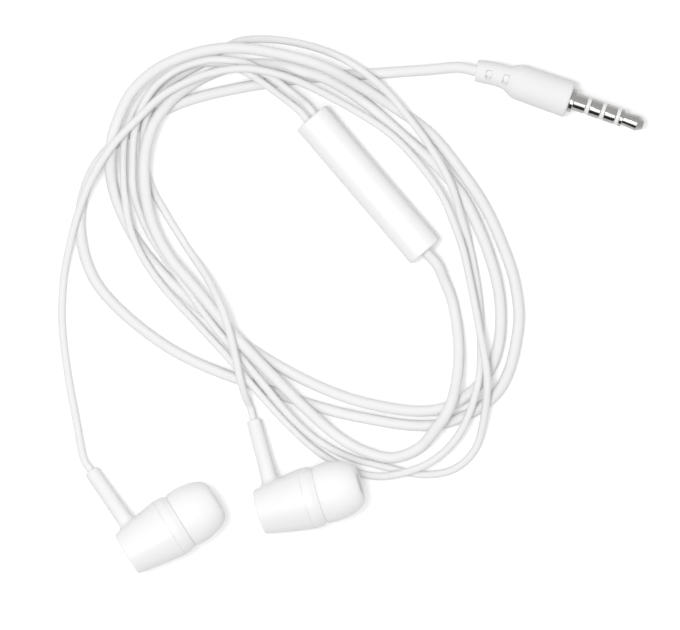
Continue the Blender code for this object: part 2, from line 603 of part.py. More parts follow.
def earbud(side, matrix, boot, finish):
    """One earbud, with its shells, driver, boot, mesh and tip; gives its gland for the cord."""
    holder = frame(f"{side}_earbud_axis", matrix)
    sizes = earbud_sizes()
    rear_shell(side, boot, finish, holder)
    front_shell(side, sizes, finish, holder)
    cable_boot(side, boot, finish, holder)
    driver(side, sizes, finish, holder)
    nozzle_mesh(side, sizes, finish, holder)
    ear_tip(side, sizes, finish, holder)
    way = matrix @ boot
    return way @ Vector((0.0, 0.0, BOOT_REACH)), way.to_3x3() @ Vector((0.0, 0.0, 1.0))


def remote_outline(inset):
    """Section of the remote, rounder on top than below, drawn in by the inset."""
    half = REMOTE_WIDTH / 2 - inset
    low = inset
    high = REMOTE_HEIGHT - inset
    top_round = max(REMOTE_TOP_ROUND - inset, 0.0)
    bottom_round = max(REMOTE_BOTTOM_ROUND - inset, 0.0)
    return rounded([(-half, low, bottom_round), (half, low, bottom_round),
                    (half, high, top_round), (-half, high, top_round)], closed=True)


def remote_shell(name, finish, holder, keep_top):
    """Upper or lower half of the remote's hollow casing."""
    parting = REMOTE_HEIGHT / 2
    outside = remote_outline(0.0)
    shell = bar(name, REMOTE_LENGTH, outside, finish["white_plastic"], holder, REMOTE_END_ROUND)
    inner_length = REMOTE_LENGTH - 2 * REMOTE_WALL
    hollow = bar(f"{name}_hollow", inner_length, remote_outline(REMOTE_WALL), None, holder)
    margin = 2 * REMOTE_WALL
    size = (REMOTE_LENGTH + margin, REMOTE_WIDTH + margin, parting + margin)
    drop = (size[2] - FIT_GAP) / 2
    centre = (0.0, 0.0, parting - drop if keep_top else parting + drop)
    cut(shell, hollow, box(f"{name}_other_half", size, centre, None, holder))
    hole_length = REMOTE_LENGTH + margin
    across = Matrix.Translation((-hole_length / 2, 0.0, parting)) @ Matrix.Rotation(math.pi / 2, 4, "Y")
    hole_outline = disc_outline(GROMMET_RADIUS + FIT_GAP, 0.0, hole_length)
    return cut(shell, turned(f"{name}_cord_hole", hole_outline, None, holder, INNER_SIDES, across))


def grommet(name, finish, holder, end):
    """Rubber grommet in one end wall, its outer face flush with the casing."""
    parting = REMOTE_HEIGHT / 2
    inner_wall = REMOTE_WALL + FIT_GAP
    outline = [(0.0, 0.0), (GROMMET_RADIUS, 0.0), (GROMMET_RADIUS, -inner_wall),
               (GROMMET_FLANGE_RADIUS - FIT_GAP, -inner_wall),
               (GROMMET_FLANGE_RADIUS - FIT_GAP, -inner_wall - GROMMET_FLANGE_THICKNESS),
               (0.0, -inner_wall - GROMMET_FLANGE_THICKNESS)]
    face = Matrix.Translation((end * REMOTE_LENGTH / 2, 0.0, parting))
    place = face @ Matrix.Rotation(end * math.pi / 2, 4, "Y")
    return turned(name, outline, finish["white_rubber"], holder, INNER_SIDES, place)


def remote(finish):
    """Inline remote: casing halves, button, switch, board, microphone and grommets."""
    matrix = Matrix.Translation((*REMOTE_PLACE, 0.0)) @ Matrix.Rotation(REMOTE_HEADING, 4, "Z")
    holder = frame("remote_axis", matrix)
    remote_shell("remote_cover", finish, holder, True)
    base = remote_shell("remote_base", finish, holder, False)

    button_size = (BUTTON_LENGTH, BUTTON_WIDTH)
    flange_low = REMOTE_WALL + FIT_GAP
    flange_high = flange_low + BUTTON_FLANGE_THICKNESS
    cap_size = (*button_size, flange_low + BUTTON_FLANGE_THICKNESS / 2 - BUTTON_RECESS)
    cap = box("remote_button", cap_size, (0.0, 0.0, BUTTON_RECESS + cap_size[2] / 2),
              finish["white_plastic"], holder, BUTTON_WIDTH / 2)
    flange_size = (BUTTON_LENGTH + 2 * BUTTON_FLANGE, BUTTON_WIDTH + 2 * BUTTON_FLANGE,
                   BUTTON_FLANGE_THICKNESS)
    flange = box("button_flange", flange_size, (0.0, 0.0, (flange_low + flange_high) / 2), None, holder,
                 flange_size[1] / 2)
    combine(cap, flange, "UNION")
    nub_low = flange_low + BUTTON_FLANGE_THICKNESS / 2
    nub_high = flange_high + BUTTON_NUB_LENGTH
    nub_outline = disc_outline(BUTTON_NUB_RADIUS, nub_low, nub_high)
    combine(cap, turned("button_nub", nub_outline, None, holder, PIN_SIDES), "UNION")

    hole_size = (BUTTON_LENGTH + 2 * FIT_GAP, BUTTON_WIDTH + 2 * FIT_GAP, 4 * REMOTE_WALL)
    hole = box("button_hole", hole_size, (0.0, 0.0, 0.0), None, holder, hole_size[1] / 2)
    sound_outline = disc_outline(MICROPHONE_HOLE_RADIUS, -REMOTE_WALL, 2 * REMOTE_WALL)
    over_microphone = Matrix.Translation((-MICROPHONE_OFFSET, 0.0, 0.0))
    cut(base, hole, turned("microphone_hole", sound_outline, None, holder, PIN_SIDES, over_microphone))

    plunger_low = nub_high + FIT_GAP
    switch_low = plunger_low + PLUNGER_STAND_OUT
    switch_high = switch_low + SWITCH_HEIGHT
    board_low = switch_high + CONTACT_GAP
    post_outline = disc_outline(POST_RADIUS, REMOTE_WALL / 2, board_low - FIT_GAP)
    for index, offset in enumerate((-POST_OFFSET, POST_OFFSET)):
        place = Matrix.Translation((offset, 0.0, 0.0))
        post = turned(f"board_post_{index}", post_outline, None, holder, PIN_SIDES, place)
        combine(base, post, "UNION")
    turned("switch_plunger", disc_outline(PLUNGER_RADIUS, plunger_low, plunger_low + PLUNGER_LENGTH),
           finish["grey_plastic"], holder, PIN_SIDES)
    switch = box("switch_body", (SWITCH_LENGTH, SWITCH_WIDTH, SWITCH_HEIGHT),
                 (0.0, 0.0, (switch_low + switch_high) / 2), finish["plated_metal"], holder)
    cut(switch, turned("plunger_bore", disc_outline(PLUNGER_RADIUS + FIT_GAP, 0.0, switch_high - SWITCH_ROOF),
                       None, holder, PIN_SIDES))
    box("circuit_board", (BOARD_LENGTH, BOARD_WIDTH, BOARD_THICKNESS),
        (0.0, 0.0, board_low + BOARD_THICKNESS / 2), finish["board"], holder)
    microphone_middle = board_low - CONTACT_GAP - MICROPHONE_HEIGHT / 2
    box("microphone", (MICROPHONE_LENGTH, MICROPHONE_WIDTH, MICROPHONE_HEIGHT),
        (-MICROPHONE_OFFSET, 0.0, microphone_middle), finish["plated_metal"], holder)

    grommet("main_cord_grommet", finish, holder, 1)
    grommet("branch_cord_grommet", finish, holder, -1)
    glands = {}
    turn = matrix.to_3x3()
    half_spacing = BRANCH_SPACING / 2
    for name, end, offset in (("main", 1, 0.0), ("right", -1, -half_spacing), ("left", -1, half_spacing)):
        face = Vector((end * REMOTE_LENGTH / 2, offset, REMOTE_HEIGHT / 2))
        glands[name] = (matrix @ face, turn @ Vector((end, 0.0, 0.0)))
    return glands


def grip_centre(distance):
    """Centre of the plug's grip and its turn, at a distance back from its front face.

    The grip is straight to the end of its flare, turns evenly over the bend's length and is
    straight again behind it, so the bend is an arc.
    """
    bend_start = GRIP_LENGTH + GRIP_FLARE_LENGTH
    beyond = max(distance - bend_start - GRIP_BEND_LENGTH, 0.0)
    turn = GRIP_BEND * min(max((distance - bend_start) / GRIP_BEND_LENGTH, 0.0), 1.0)
    arc_radius = GRIP_BEND_LENGTH / GRIP_BEND
    y = arc_radius * (1 - math.cos(turn)) + beyond * math.sin(turn)
    z = -min(distance, bend_start) - arc_radius * math.sin(turn) - beyond * math.cos(turn)
    return Vector((0.0, y, z)), turn


def grip_way_back(turn):
    """Direction towards the rear of the grip, at a turn of its centre line."""
    return Vector((0.0, math.sin(turn), -math.cos(turn)))


def grip_stations():
    """Distances back from the grip's front face, each with its radius."""
    round_edge = GRIP_EDGE_ROUND
    flare_end = GRIP_LENGTH + GRIP_FLARE_LENGTH
    rear = flare_end + GRIP_NECK_LENGTH
    stations = []
    for step in range(ARC_STEPS + 1):
        angle = math.pi / 2 * step / ARC_STEPS
        radius = GRIP_RADIUS - round_edge * (1 - math.sin(angle))
        stations.append((round_edge * (1 - math.cos(angle)), radius))
    flare_steps = 2 * ARC_STEPS
    for step in range(flare_steps + 1):
        share = step / flare_steps
        ease = (1 + math.cos(math.pi * share)) / 2
        radius = GRIP_NECK_FRONT_RADIUS + (GRIP_BODY_REAR_RADIUS - GRIP_NECK_FRONT_RADIUS) * ease
        stations.append((GRIP_LENGTH + GRIP_FLARE_LENGTH * share, radius))
    taper = (GRIP_NECK_REAR_RADIUS - GRIP_NECK_FRONT_RADIUS) / GRIP_NECK_LENGTH
    for step in range(1, ARC_STEPS + 1):
        along = GRIP_BEND_LENGTH * step / ARC_STEPS
        stations.append((flare_end + along, GRIP_NECK_FRONT_RADIUS + taper * along))
    stations.append((rear - round_edge, GRIP_NECK_REAR_RADIUS))
    stations.append((rear, GRIP_NECK_REAR_RADIUS - round_edge / 2))
    return stations


def grip(finish, holder):
    """Moulded grip of the plug: body, flare and bent neck, with two slots above and below."""
    body = bmesh.new()
    rings = []
    up = Vector((1.0, 0.0, 0.0))
    for distance, radius in grip_stations():
        place, turn = grip_centre(distance)
        across = grip_way_back(turn).cross(up)
        ring = []
        for index in range(GRIP_SIDES):
            angle = math.tau * index / GRIP_SIDES
            ring.append(body.verts.new(place + radius * (math.cos(angle) * up + math.sin(angle) * across)))
        rings.append(ring)
    for near, far in zip(rings, rings[1:]):
        for index in range(GRIP_SIDES):
            after = (index + 1) % GRIP_SIDES
            body.faces.new((near[index], near[after], far[after], far[index]))
    body.faces.new(rings[0])
    body.faces.new(rings[-1])
    shape = link("plug_grip", finish_mesh("plug_grip", body), finish["white_rubber"], holder)

    bore = turned("shank_bore", disc_outline(CONTACT_RADIUS + CONTACT_GAP, -SLEEVE_SHANK - FIT_GAP, FIT_GAP),
                  None, holder)
    cut(shape, bore)
    slot_low = GRIP_NECK_FRONT_RADIUS - SLOT_DEPTH
    slot_size = (SLOT_LENGTH, SLOT_WIDTH, GRIP_RADIUS - slot_low)
    slot_middle = (GRIP_RADIUS + slot_low) / 2
    for number in range(SLOTS):
        distance = GRIP_LENGTH + GRIP_FLARE_LENGTH - SLOT_INTO_FLARE + number * SLOT_PITCH
        place, turn = grip_centre(distance)
        aim = Matrix.Translation(place) @ Matrix.Rotation(-turn, 4, "X") @ Matrix.Rotation(SLOT_ROLL, 4, "Z")
        for side in (1, -1):
            slot = box(f"slot_{number}_{side}", slot_size, (0.0, 0.0, 0.0), None, holder, SLOT_LENGTH / 4)
            rise = Matrix.Translation((side * slot_middle, 0.0, 0.0))
            slot.matrix_basis = aim @ rise @ Matrix.Rotation(math.pi / 2, 4, "Y")
            cut(shape, slot)
    return shape


def plug(finish):
    """3.5 mm plug: grip, sleeve, two rings, three insulators and the tip with its pin."""
    heading = Vector((math.cos(PLUG_HEADING), math.sin(PLUG_HEADING), 0.0))
    up = Vector((0.0, 0.0, 1.0))
    turn = Matrix((up, heading.cross(up), heading)).transposed().to_4x4()
    matrix = Matrix.Translation((*PLUG_PLACE, GRIP_RADIUS)) @ turn
    holder = frame("plug_axis", matrix)
    grip(finish, holder)

    bore = CONTACT_RADIUS - CONTACT_WALL
    turned("plug_sleeve", [
        (CONTACT_RADIUS, SLEEVE_LENGTH), (CONTACT_RADIUS, CONTACT_GAP + COLLAR_LENGTH),
        (COLLAR_RADIUS, CONTACT_GAP + COLLAR_LENGTH), (COLLAR_RADIUS, CONTACT_GAP),
        (CONTACT_RADIUS, CONTACT_GAP), (CONTACT_RADIUS, -SLEEVE_SHANK), (bore, -SLEEVE_SHANK),
        (bore, SLEEVE_LENGTH)], finish["plated_metal"], holder, INNER_SIDES)

    core = bore - CONTACT_GAP
    pin_bore = PIN_RADIUS + CONTACT_GAP
    level = SLEEVE_LENGTH
    back = -SLEEVE_SHANK
    for number in range(RINGS + 1):
        low = level + CONTACT_GAP
        high = low + INSULATOR_LENGTH
        turned(f"plug_insulator_{number + 1}", [
            (CONTACT_RADIUS, high), (CONTACT_RADIUS, low), (core, low), (core, back), (pin_bore, back),
            (pin_bore, high)], finish["white_plastic"], holder, INNER_SIDES)
        level = high
        if number < RINGS:
            back = high + CONTACT_GAP
            level = back + RING_LENGTH
            turned(f"plug_ring_{number + 1}", ring_outline(bore, CONTACT_RADIUS, back, level),
                   finish["plated_metal"], holder, INNER_SIDES)

    base = level + CONTACT_GAP
    groove = base + HEAD_BASE_LENGTH
    head = groove + HEAD_GROOVE_LENGTH
    cone = head + HEAD_LENGTH
    end = cone + HEAD_CONE_LENGTH
    turned("plug_tip", rounded([
        (0.0, end, 0.0), (HEAD_END_RADIUS, end, HEAD_END_RADIUS / 4), (HEAD_RADIUS, cone, HEAD_CONE_LENGTH / 4),
        (HEAD_GROOVE_RADIUS, head, 0.0), (HEAD_GROOVE_RADIUS, groove, 0.0), (CONTACT_RADIUS, groove, 0.0),
        (CONTACT_RADIUS, base, 0.0), (PIN_RADIUS, base, 0.0), (PIN_RADIUS, -SLEEVE_SHANK, 0.0),
        (0.0, -SLEEVE_SHANK, 0.0)]), finish["plated_metal"], holder, INNER_SIDES)

    place, turn_back = grip_centre(GRIP_LENGTH + GRIP_FLARE_LENGTH + GRIP_NECK_LENGTH)
    return matrix @ place, matrix.to_3x3() @ grip_way_back(turn_back)


def gland_points(gland, diameter):
    """Straight last stretch of a cord in front of its gland, nearest point first."""
    face, outward = gland
    return [face + outward * FIT_GAP, face + outward * (FIT_GAP + 1.5 * diameter)]


def smooth_curve(points):
    """Points along a centripetal Catmull-Rom curve through the route's points."""
    route = np.array(points)
    ends = np.vstack([2 * route[0] - route[1], route, 2 * route[-1] - route[-2]])
    curve = []
    for first in range(len(ends) - 3):
        p0, p1, p2, p3 = ends[first:first + 4]
        knots = np.cumsum([0.0] + [np.linalg.norm(b - a) ** 0.5 for a, b in ((p0, p1), (p1, p2), (p2, p3))])
        count = max(1, round(float(np.linalg.norm(p2 - p1)) / CORD_STEP))
        for share in range(count):
            t = knots[1] + (knots[2] - knots[1]) * share / count
            a1 = ((knots[1] - t) * p0 + (t - knots[0]) * p1) / (knots[1] - knots[0])
            a2 = ((knots[2] - t) * p1 + (t - knots[1]) * p2) / (knots[2] - knots[1])
            a3 = ((knots[3] - t) * p2 + (t - knots[2]) * p3) / (knots[3] - knots[2])
            b1 = ((knots[2] - t) * a1 + (t - knots[0]) * a2) / (knots[2] - knots[0])
            b2 = ((knots[3] - t) * a2 + (t - knots[1]) * a3) / (knots[3] - knots[1])
            curve.append(((knots[2] - t) * b1 + (t - knots[1]) * b2) / (knots[2] - knots[1]))
    curve.append(route[-1])
    return np.array(curve)


def report_cord(name, curve, diameter):
    """Print a cord's length and its least gap to itself, measured on close points."""
    pieces = []
    for start, end in zip(curve, curve[1:]):
        count = max(1, math.ceil(float(np.linalg.norm(end - start)) / (diameter / 4)))
        pieces.append(start + (end - start) * np.arange(count)[:, None] / count)
    line = np.vstack(pieces + [curve[-1:]])
    along = np.concatenate([[0.0], np.cumsum(np.linalg.norm(np.diff(line, axis=0), axis=1))])
    least = math.inf
    for index, point in enumerate(line):
        apart = np.linalg.norm(line - point, axis=1)
        apart[np.abs(along - along[index]) < LOOP_LENGTH] = math.inf
        least = min(least, float(apart.min()) - diameter)
    print(f"{name}: length {along[-1] / MM:.1f} mm, least gap to itself {least / MM:.2f} mm")


def cord(name, start, route, end, diameter, finish):
    """One free cord, from its start gland along its route to its end gland."""
    middle = [Vector(point) * MM for point in route]
    points = gland_points(start, diameter) + middle + gland_points(end, diameter)[::-1]
    curve = smooth_curve([tuple(point) for point in points])
    report_cord(name, curve, diameter)
    tube(name, curve, diameter / 2, finish["white_cord"])


def build():
    """Model the earphones."""
    clear_scene()
    finish = materials()
    left = earbud_matrix(LEFT_PLACE, LEFT_HEADING, LEFT_PITCH, LEFT_ROLL)
    left_boot = earbud("left", left, boot_matrix(LEFT_BOOT_LEAN), finish)
    right = earbud_matrix(RIGHT_PLACE, RIGHT_HEADING, RIGHT_PITCH, RIGHT_ROLL)
    right_boot = earbud("right", right, boot_matrix(RIGHT_BOOT_LEAN), finish)
    glands = remote(finish)
    cord("main_cord", plug(finish), MAIN_ROUTE, glands["main"], MAIN_CORD_DIAMETER, finish)
    cord("right_cord", glands["right"], RIGHT_ROUTE, right_boot, BRANCH_CORD_DIAMETER, finish)
    cord("left_cord", glands["left"], LEFT_ROUTE, left_boot, BRANCH_CORD_DIAMETER, finish)


build()
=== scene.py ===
"""Wired in-ear earphones with an inline remote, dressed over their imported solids.

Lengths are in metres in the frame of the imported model: +Z is up, the surface is at Z = 0.
Every new piece is a grid of points worked out with numpy, in its own local frame, and then
placed with the matrix of the assembly that it belongs to.
"""
import math

import bpy
import numpy as np
from bpy.props import FloatProperty, FloatVectorProperty, PointerProperty
from mathutils import Matrix, Vector


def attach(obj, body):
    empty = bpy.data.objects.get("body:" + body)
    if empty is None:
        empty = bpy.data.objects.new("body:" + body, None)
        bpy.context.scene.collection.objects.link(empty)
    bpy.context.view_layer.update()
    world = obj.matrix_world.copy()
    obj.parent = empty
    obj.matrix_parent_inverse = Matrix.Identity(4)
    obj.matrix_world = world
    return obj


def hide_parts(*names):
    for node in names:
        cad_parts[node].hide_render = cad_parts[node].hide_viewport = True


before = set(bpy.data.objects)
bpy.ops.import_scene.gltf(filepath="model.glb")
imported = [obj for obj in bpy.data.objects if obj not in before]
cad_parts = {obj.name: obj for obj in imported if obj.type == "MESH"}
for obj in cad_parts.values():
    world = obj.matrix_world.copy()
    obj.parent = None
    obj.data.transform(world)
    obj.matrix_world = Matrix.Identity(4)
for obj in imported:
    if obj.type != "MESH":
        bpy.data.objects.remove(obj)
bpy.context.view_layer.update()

bl_info = {
    "name": "Wired earphones",
    "version": (1, 0, 0),
    "blender": (4, 5, 0),
    "location": "3D View > Sidebar > Earphones",
    "description": "Builds in-ear earphones with an inline remote and a plug",
    "category": "Add Mesh",
}

MM = 0.001

# Earbud, counted from its flat rear face
SEAM_HEIGHT = 10.0 * MM
REAR_RADIUS = 4.5 * MM
SEAM_RADIUS = 6.2 * MM
SHELL_WALL = 0.9 * MM
FRONT_WALL = 12.7 * MM
FRONT_RADIUS = 5.6 * MM
LIP_START = 9.1 * MM
LIP_RADIUS = 4.85 * MM
CHAMBER_RADIUS = 4.25 * MM
NOZZLE_RADIUS = 2.3 * MM
NOZZLE_BORE = 1.7 * MM
NOZZLE_END = 17.3 * MM
BARB_RADIUS = 2.6 * MM
BARB_LENGTH = 0.8 * MM
TIP_BACK = 12.72 * MM
TIP_FRONT = 21.0 * MM
TIP_WIDEST = 14.5 * MM
TIP_RADIUS = 6.0 * MM
TIP_SKIRT_RADIUS = 5.9 * MM
TIP_FRONT_RADIUS = 3.0 * MM
TIP_WALL = 0.6 * MM
TIP_BORE = 2.9 * MM
TIP_MOUTH_RADIUS = 2.3 * MM
TIP_CLEARANCE = 0.3 * MM
BOOT_HEIGHT = 3.6 * MM
BOOT_REACH = 18.25 * MM
BOOT_END_RADIUS = 1.5 * MM
BOOT_BASE_RADIUS = 1.6 * MM
BOOT_HOLE_DEPTH = 1.2 * MM

# Remote, along its own X
REMOTE_LENGTH = 35.2 * MM
REMOTE_WIDTH = 7.7 * MM
REMOTE_HEIGHT = 6.2 * MM
REMOTE_WALL = 0.8 * MM
REMOTE_TOP_ROUND = 3.0 * MM
GROMMET_RADIUS = 2.0 * MM
GROMMET_LIP = 0.2 * MM
GROMMET_LIP_START = 0.3 * MM
GROMMET_LIP_END = 1.1 * MM
BRANCH_SPACING = 1.92 * MM

# Plug, with its own +Z towards the contact tip
GRIP_RADIUS = 3.75 * MM
GRIP_BODY_REAR_RADIUS = 3.6 * MM
GRIP_LENGTH = 10.5 * MM
GRIP_FLARE_LENGTH = 3.5 * MM
GRIP_NECK_LENGTH = 5.6 * MM
GRIP_NECK_FRONT_RADIUS = 2.4 * MM
GRIP_NECK_REAR_RADIUS = 2.2 * MM
GRIP_OUTSIDE_RADIUS = 2.0 * MM
GRIP_BEND = math.radians(9.3)
GRIP_BEND_LENGTH = 2.5 * MM
SLOT_LENGTH = 1.2 * MM
SLOT_WIDTH = 2.2 * MM
SLOT_PITCH = 3.6 * MM
SLOT_INTO_FLARE = 0.6 * MM
SLOTS = 2
SLOT_FLOOR = 0.6
SLOT_DROP_START = -0.4 * MM
SLOT_DROP_RUN = 0.2 * MM
SLOT_WALL_RUN = 0.06 * MM
GRIP_HOLE_DEPTH = 1.0 * MM
CONTACT_RADIUS = 1.75 * MM
CONTACT_BORE = 1.3 * MM
CONTACT_BEVEL = 0.06 * MM
COLLAR_RADIUS = 2.4 * MM
COLLAR_START = 0.1 * MM
COLLAR_END = 0.9 * MM
PIN_RADIUS = 0.5 * MM
SLEEVE_SHANK = 5.5 * MM
SLEEVE_LENGTH = 3.4 * MM
INSULATOR_STEP = 0.95 * MM
INSULATOR_LENGTH = 0.75 * MM
INSULATOR_RECESS = 0.03 * MM
INSULATOR_BORE = 1.0 * MM
RING_STEP = 2.2 * MM
HEAD_BASE_LENGTH = 0.6 * MM
HEAD_GROOVE_RADIUS = 1.3 * MM
HEAD_GROOVE_LENGTH = 0.3 * MM
HEAD_RADIUS = 1.55 * MM
HEAD_LENGTH = 2.7 * MM
HEAD_CONE_LENGTH = 1.3 * MM
HEAD_END_RADIUS = 0.8 * MM

# Cords
MAIN_CORD_DIAMETER = 2.2 * MM
BRANCH_CORD_DIAMETER = 1.5 * MM
GLAND_GAP = 0.3 * MM
CORD_CLEARANCE = 0.03 * MM
CORD_INTO_GLAND = 0.8 * MM

# Places on the surface, as in the source of the solids
EARBUDS = {
    "left": {"rear": (-26.91 * MM, -42.76 * MM), "heading": math.radians(31.8), "roll": math.radians(12.0),
             "pitch": 0.0, "lean": math.radians(3.1)},
    "right": {"rear": (-0.4 * MM, -34.39 * MM), "heading": math.radians(16.2), "roll": math.radians(10.3),
              "pitch": math.radians(6.5), "lean": 0.0},
}
REMOTE_PLACE = (21.33 * MM, 31.04 * MM)
REMOTE_HEADING = math.radians(-49.55)
PLUG_PLACE = (61.51 * MM, 47.98 * MM)
PLUG_HEADING = math.radians(-19.3)

# Routes of the cords between their glands
MAIN_ROUTE = MM * np.array([
    (33.6, 54, 2.5), (24.6, 53.4, 1.4), (5.6, 52, 1.2), (-12.4, 48.6, 1.2), (-19.4, 46, 1.2),
    (-25.4, 42.4, 1.2), (-30.8, 38, 1.2), (-34.4, 32.6, 1.2), (-36.4, 24, 1.2), (-34.8, 14.8, 1.2),
    (-31, 8.6, 1.2), (-18, -2, 1.2), (0, -9.6, 1.2), (19.6, -15.5, 1.2), (36, -16.8, 1.2),
    (47.2, -10.4, 1.2), (51.3, 2.4, 1.2), (50.7, 11, 1.2), (48.2, 18.8, 1.2), (44.3, 27.2, 1.2),
    (39.2, 34.6, 1.2), (33.6, 41.3, 1.2), (26.8, 46.3, 1.2), (19.2, 50.9, 4), (12, 54.6, 7),
    (3.6, 57, 6.5), (-4.4, 58.2, 6.5), (-10.4, 57.8, 6.5), (-16.4, 56.2, 6), (-21.4, 53.7, 5.5),
    (-26, 49.4, 5), (-29.1, 43, 4.5), (-30.2, 38, 4), (-29.7, 30, 1.2), (-24.6, 19, 1.2),
    (-11.8, 5.7, 1.2), (3.6, -5.4, 1.2), (20.6, -12.6, 1.5), (36.6, -13.6, 2.4), (45.8, -5.6, 1.2),
    (47.6, 8, 1.5), (41.2, 26.9, 1.5), (35.2, 34.6, 1.2), (27.6, 41.4, 1.2), (19.6, 48.2, 1.5),
    (12.4, 52.3, 4.2), (8.2, 53.6, 4), (3.6, 54.8, 2.5), (-4.4, 55, 1.2), (-11.4, 52.6, 1.2),
    (-16.4, 49.4, 3), (-19.2, 46.6, 4.5), (-21.8, 42.6, 5), (-23.3, 37, 4.5), (-23.3, 30, 4),
    (-22, 23.6, 3.5), (-18.6, 16.8, 4), (-13.2, 10.3, 5), (-6.2, 1.8, 4.5), (-2.8, -2, 4.5),
    (2.2, -7.2, 4), (8.2, -13.2, 4), (15.6, -19.6, 2.5), (20.8, -22.4, 2), (26, -23.6, 2),
    (31.2, -21.8, 2), (34.6, -18, 4), (37.4, -13.6, 5.5), (39.1, -7, 3.5), (39.3, 0, 2), (38, 8, 1.2),
    (36.4, 12, 2),
])
RIGHT_ROUTE = MM * np.array([
    (4.4, 48.3, 2.5), (0.8, 50.9, 3.5), (-2.8, 53.3, 3.5), (-6.2, 54.7, 3.5), (-11.2, 55.4, 3),
    (-16.4, 54.1, 2.5), (-20.8, 51.6, 2.6), (-24.8, 47.2, 3), (-26.8, 42.8, 3.5), (-27.5, 39.6, 3.5),
    (-27.7, 34, 2), (-27.3, 28, 3), (-26.2, 22, 4), (-24, 16.8, 3.5), (-19.6, 10.4, 2.5),
    (-13.4, 3.7, 2), (-7.4, -2.8, 3), (-3.2, -7.6, 3.5), (5, -16.7, 3.5), (11.4, -22.5, 1),
    (17.2, -25.8, 0.8), (22.6, -27.3, 1), (28, -26.7, 3), (34, -24.3, 3), (38.6, -20, 3),
    (41.4, -14.8, 3.5), (43.4, -7.6, 4), (43.8, -1, 2), (43.5, 8, 0.8), (41.6, 18.6, 0.8),
    (40, 24, 2.5), (37.6, 31.4, 4.5), (33.2, 39.2, 4), (29, 44.8, 4), (25.2, 49.4, 3.5),
    (20, 53.8, 3.5), (15.2, 56.7, 2.5), (7.6, 59.3, 0.8), (0, 60.2, 0.8), (-4.8, 59.7, 0.8),
    (-8, 58, 0.8), (-11.4, 55.6, 0.8), (-15.4, 53.3, 0.8), (-18.8, 51.1, 0.8), (-21, 48.8, 1.5),
    (-22.9, 44.6, 3.5), (-23.7, 40, 2.8), (-23.5, 35.6, 2), (-22, 30.4, 0.8), (-18.8, 24.6, 0.8),
    (-14.8, 18.2, 1), (-10.8, 12.2, 4), (-7.8, 6, 7), (-6.3, 1.2, 7), (-5, -4.4, 6), (-4.2, -8.2, 5.5),
    (-3.2, -11.6, 3.5),
])
LEFT_ROUTE = MM * np.array([
    (6.2, 49.2, 4.5), (3.4, 51.4, 4), (0.6, 53.3, 4), (-3.2, 55.3, 4.5), (-6.8, 55.9, 5.5),
    (-10.8, 55.9, 5), (-16.4, 54.2, 4.5), (-20.6, 51.3, 4.5), (-23.2, 47.8, 5), (-24.7, 44.4, 4.6),
    (-25.6, 40, 4.5), (-25.8, 34.8, 3.5), (-25.7, 30.4, 3.5), (-24.6, 26, 2), (-22.4, 21, 1),
    (-18.8, 15.6, 2), (-14.4, 9.4, 3.2), (-11.6, 5.4, 3.5), (-8, 0.8, 3.5), (-3.8, -3.8, 3),
    (0.4, -9, 4.5), (6.2, -15.8, 4.5), (11.6, -20.4, 2.5), (17.6, -23.5, 0.8), (24.6, -25.4, 0.8),
    (32.6, -27, 0.8), (38.6, -25.8, 0.8), (42.6, -22, 0.8), (44.6, -14.4, 3), (45, -7.4, 5),
    (43.4, 2.4, 4), (41.6, 11.8, 3), (40.1, 18.4, 3), (38.2, 23.8, 3), (36.1, 28.6, 3), (32.4, 34, 3),
    (26.2, 40.7, 3), (18.6, 45.8, 3), (10.6, 50.1, 4.5), (5.6, 52.2, 5.5), (0.6, 53.6, 6.5),
    (-4.4, 54.1, 6.5), (-11.4, 52.8, 6.5), (-19.4, 49, 6.5), (-24.6, 44.2, 7), (-30, 38.4, 6.5),
    (-34.2, 31.6, 5), (-36.8, 25, 3.5), (-38.4, 19, 2.5), (-39.7, 12, 0.8), (-40, 3, 0.8),
    (-38.8, -7.2, 0.8), (-37, -17, 1.5),
])

# Sky: strength, and a dark card low beyond the picture's lower edge, whose strength is reached
# between two dot products of a direction and the card's
SKY_LIGHT = 0.61
DARK_CARD = (-0.3, -0.855, 0.423)
DARK_CARD_LIGHT = 0.03
DARK_CARD_EDGE = (0.84, 0.93)

# Lamps: name, place, side and watts; all of them point at one target
LAMPS = (
    ("broad_lamp", (-0.14, -0.24, 0.86), 0.6, 2.2),
    ("near_lamp", (-0.17, 0.03, 0.95), 0.16, 2.84),
)
LAMP_TARGET = (0.015, 0.005, 0.0)

# Floor: half its side, rows of points, gap under the earphones, and its glow for the camera
FLOOR_HALF_SIDE = 3.0
FLOOR_ROWS = 9
FLOOR_GAP = 0.02 * MM
FLOOR_GLOW = 0.3

# Camera: what it stands over, the width of its picture at a level, and its distance from there
CAMERA_PLACE = (15.63 * MM, 4.96 * MM)
PICTURE_WIDTH = 136.0 * MM
PICTURE_LEVEL = 2.0 * MM
CAMERA_DISTANCE = 1.5
SENSOR_WIDTH_MM = 36.0

# Finishes: scales of the grain and the tarnish, and how far turning rings spread the roughness
FINE_GRAIN = 2500.0
TARNISH_SCALE = 700.0
RING_SPREAD = 0.12
INSULATOR_COLOUR = (0.7, 0.7, 0.69)

# Fineness of the grids
ROUND_SIDES = 96
CORD_SIDES = 24
STEPS_PER_ROUTE_POINT = 12
ARC = np.linspace(0.0, math.pi / 2, 9)


def length(name, description, default, low, high):
    """A length setting whose numbers are in millimetres."""
    return FloatProperty(name=name, description=description, default=default * MM, min=low * MM,
                         max=high * MM, precision=5, unit="LENGTH")


def tint(name, description, *value):
    """A colour setting."""
    return FloatVectorProperty(name=name, description=description, default=value, size=3, min=0.0,
                               max=1.0, subtype="COLOR")


